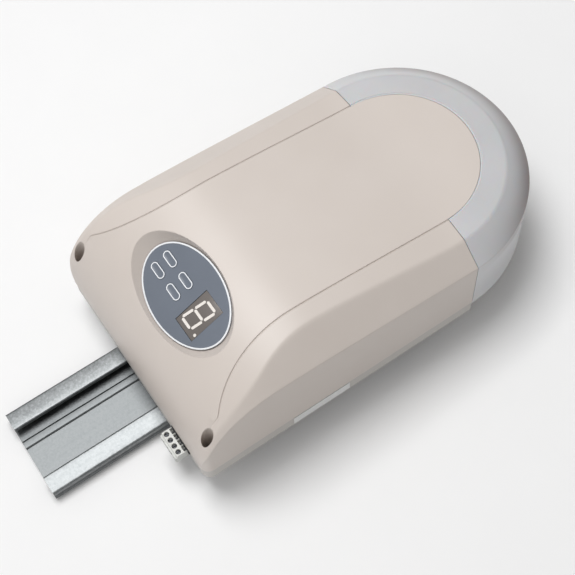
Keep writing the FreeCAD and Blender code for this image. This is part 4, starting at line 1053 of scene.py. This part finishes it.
class OPENER_OT_rail(bpy.types.Operator):
    """Fold the near end of the rail"""
    bl_idname = "opener.rail"
    bl_label = "Rail"

    def execute(self, context):
        build_rail(bpy.data.materials["steel_galvanised"])
        return {"FINISHED"}


class OPENER_OT_terminal(bpy.types.Operator):
    """Model the four-pole terminal plug and its screws"""
    bl_idname = "opener.terminal"
    bl_label = "Terminal block"

    def execute(self, context):
        build_terminal(bpy.data.materials["polyamide_natural_white"])
        # the screws' darker steel tone is painted shade for the wells
        build_terminal_screws(bpy.data.materials["steel_darkened_painted_shade"])
        return {"FINISHED"}


class OPENER_OT_stage(bpy.types.Operator):
    """Set the floor, the soft studio light and the camera"""
    bl_idname = "opener.stage"
    bl_label = "Stage"

    def execute(self, context):
        scene = context.scene
        scene.view_settings.view_transform = "Standard"
        low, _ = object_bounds()
        floor = start(bpy.ops.mesh.primitive_plane_add, size=8.0,
                      location=(0.0, 0.0, low.z - 0.1 * MM))
        floor.name = "floor"
        paper = moulded("paper_backdrop", "#f4f4f4", "#f7f7f7", 0.85, grain=1.5, depth=0.02)
        floor.data.materials.append(paper)
        floor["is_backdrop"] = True
        world = scene.world or bpy.data.worlds.new("studio")
        scene.world = world
        world.use_nodes = True
        studio = world.node_tree
        towards = add(studio, "ShaderNodeTexCoord").outputs["Generated"]
        along = add(studio, "ShaderNodeSeparateXYZ", {"Vector": towards})
        fade = add(studio, "ShaderNodeMapRange", {
            "Value": along.outputs["Y"], "From Min": -0.9, "From Max": 0.9,
            "To Min": SKY_FRONT, "To Max": SKY_REAR})
        sky = studio.nodes["Background"]
        sky.inputs["Color"].default_value = (1.0, 1.0, 1.0, 1.0)
        studio.links.new(fade.outputs["Result"], sky.inputs["Strength"])
        for name, place, size, energy in LAMPS:
            bpy.ops.object.light_add(type="AREA", location=place)
            lamp = context.object
            lamp.name = name
            lamp.data.size = size
            lamp.data.energy = energy
            lamp.rotation_euler = (LAMP_AIM - Vector(place)).to_track_quat("-Z", "Y").to_euler()
        place_camera(scene)
        return {"FINISHED"}


def place_camera(scene):
    """Camera above the near side of the head, a little rolled."""
    azimuth, elevation = CAMERA_AZIMUTH, CAMERA_ELEVATION
    back = Vector((math.sin(azimuth) * math.cos(elevation),
                   -math.cos(azimuth) * math.cos(elevation), math.sin(elevation)))
    level = Vector((math.cos(azimuth), math.sin(azimuth), 0.0))
    right = level * math.cos(CAMERA_ROLL) + back.cross(level) * math.sin(CAMERA_ROLL)
    up = back.cross(right)
    camera = bpy.data.objects.new("camera", bpy.data.cameras.new("camera"))
    scene.collection.objects.link(camera)
    turn = Matrix((right, up, back)).transposed().to_4x4()
    camera.matrix_world = Matrix.Translation(CAMERA_AIM + back * CAMERA_DISTANCE) @ turn
    camera.data.lens = CAMERA_LENS
    camera.data.sensor_width = CAMERA_SENSOR
    scene.camera = camera


class OPENER_PT_pieces(bpy.types.Panel):
    """Lists the pieces of the opener"""
    bl_idname = "OPENER_PT_pieces"
    bl_label = "Opener head"
    bl_space_type = "VIEW_3D"
    bl_region_type = "UI"
    bl_category = "Opener"

    def draw(self, context):
        for operator in OPERATORS:
            self.layout.operator(operator.bl_idname)


OPERATORS = (OPENER_OT_finishes, OPENER_OT_cover, OPENER_OT_lens, OPENER_OT_panel, OPENER_OT_rail,
             OPENER_OT_terminal, OPENER_OT_stage)
CLASSES = (OpenerSizes, OpenerColours, *OPERATORS, OPENER_PT_pieces)


def register():
    for kind in CLASSES:
        bpy.utils.register_class(kind)
    bpy.types.Scene.opener_sizes = bpy.props.PointerProperty(type=OpenerSizes)
    bpy.types.Scene.opener_colours = bpy.props.PointerProperty(type=OpenerColours)


def unregister():
    del bpy.types.Scene.opener_colours
    del bpy.types.Scene.opener_sizes
    for kind in reversed(CLASSES):
        bpy.utils.unregister_class(kind)


def main():
    register()
    bpy.context.view_layer.update()
    bpy.ops.opener.finishes()
    bpy.ops.opener.cover()
    bpy.ops.opener.lens()
    bpy.ops.opener.panel()
    bpy.ops.opener.rail()
    bpy.ops.opener.terminal()
    bpy.ops.opener.stage()
    bpy.context.view_layer.update()


if __name__ == "__main__":
    main()
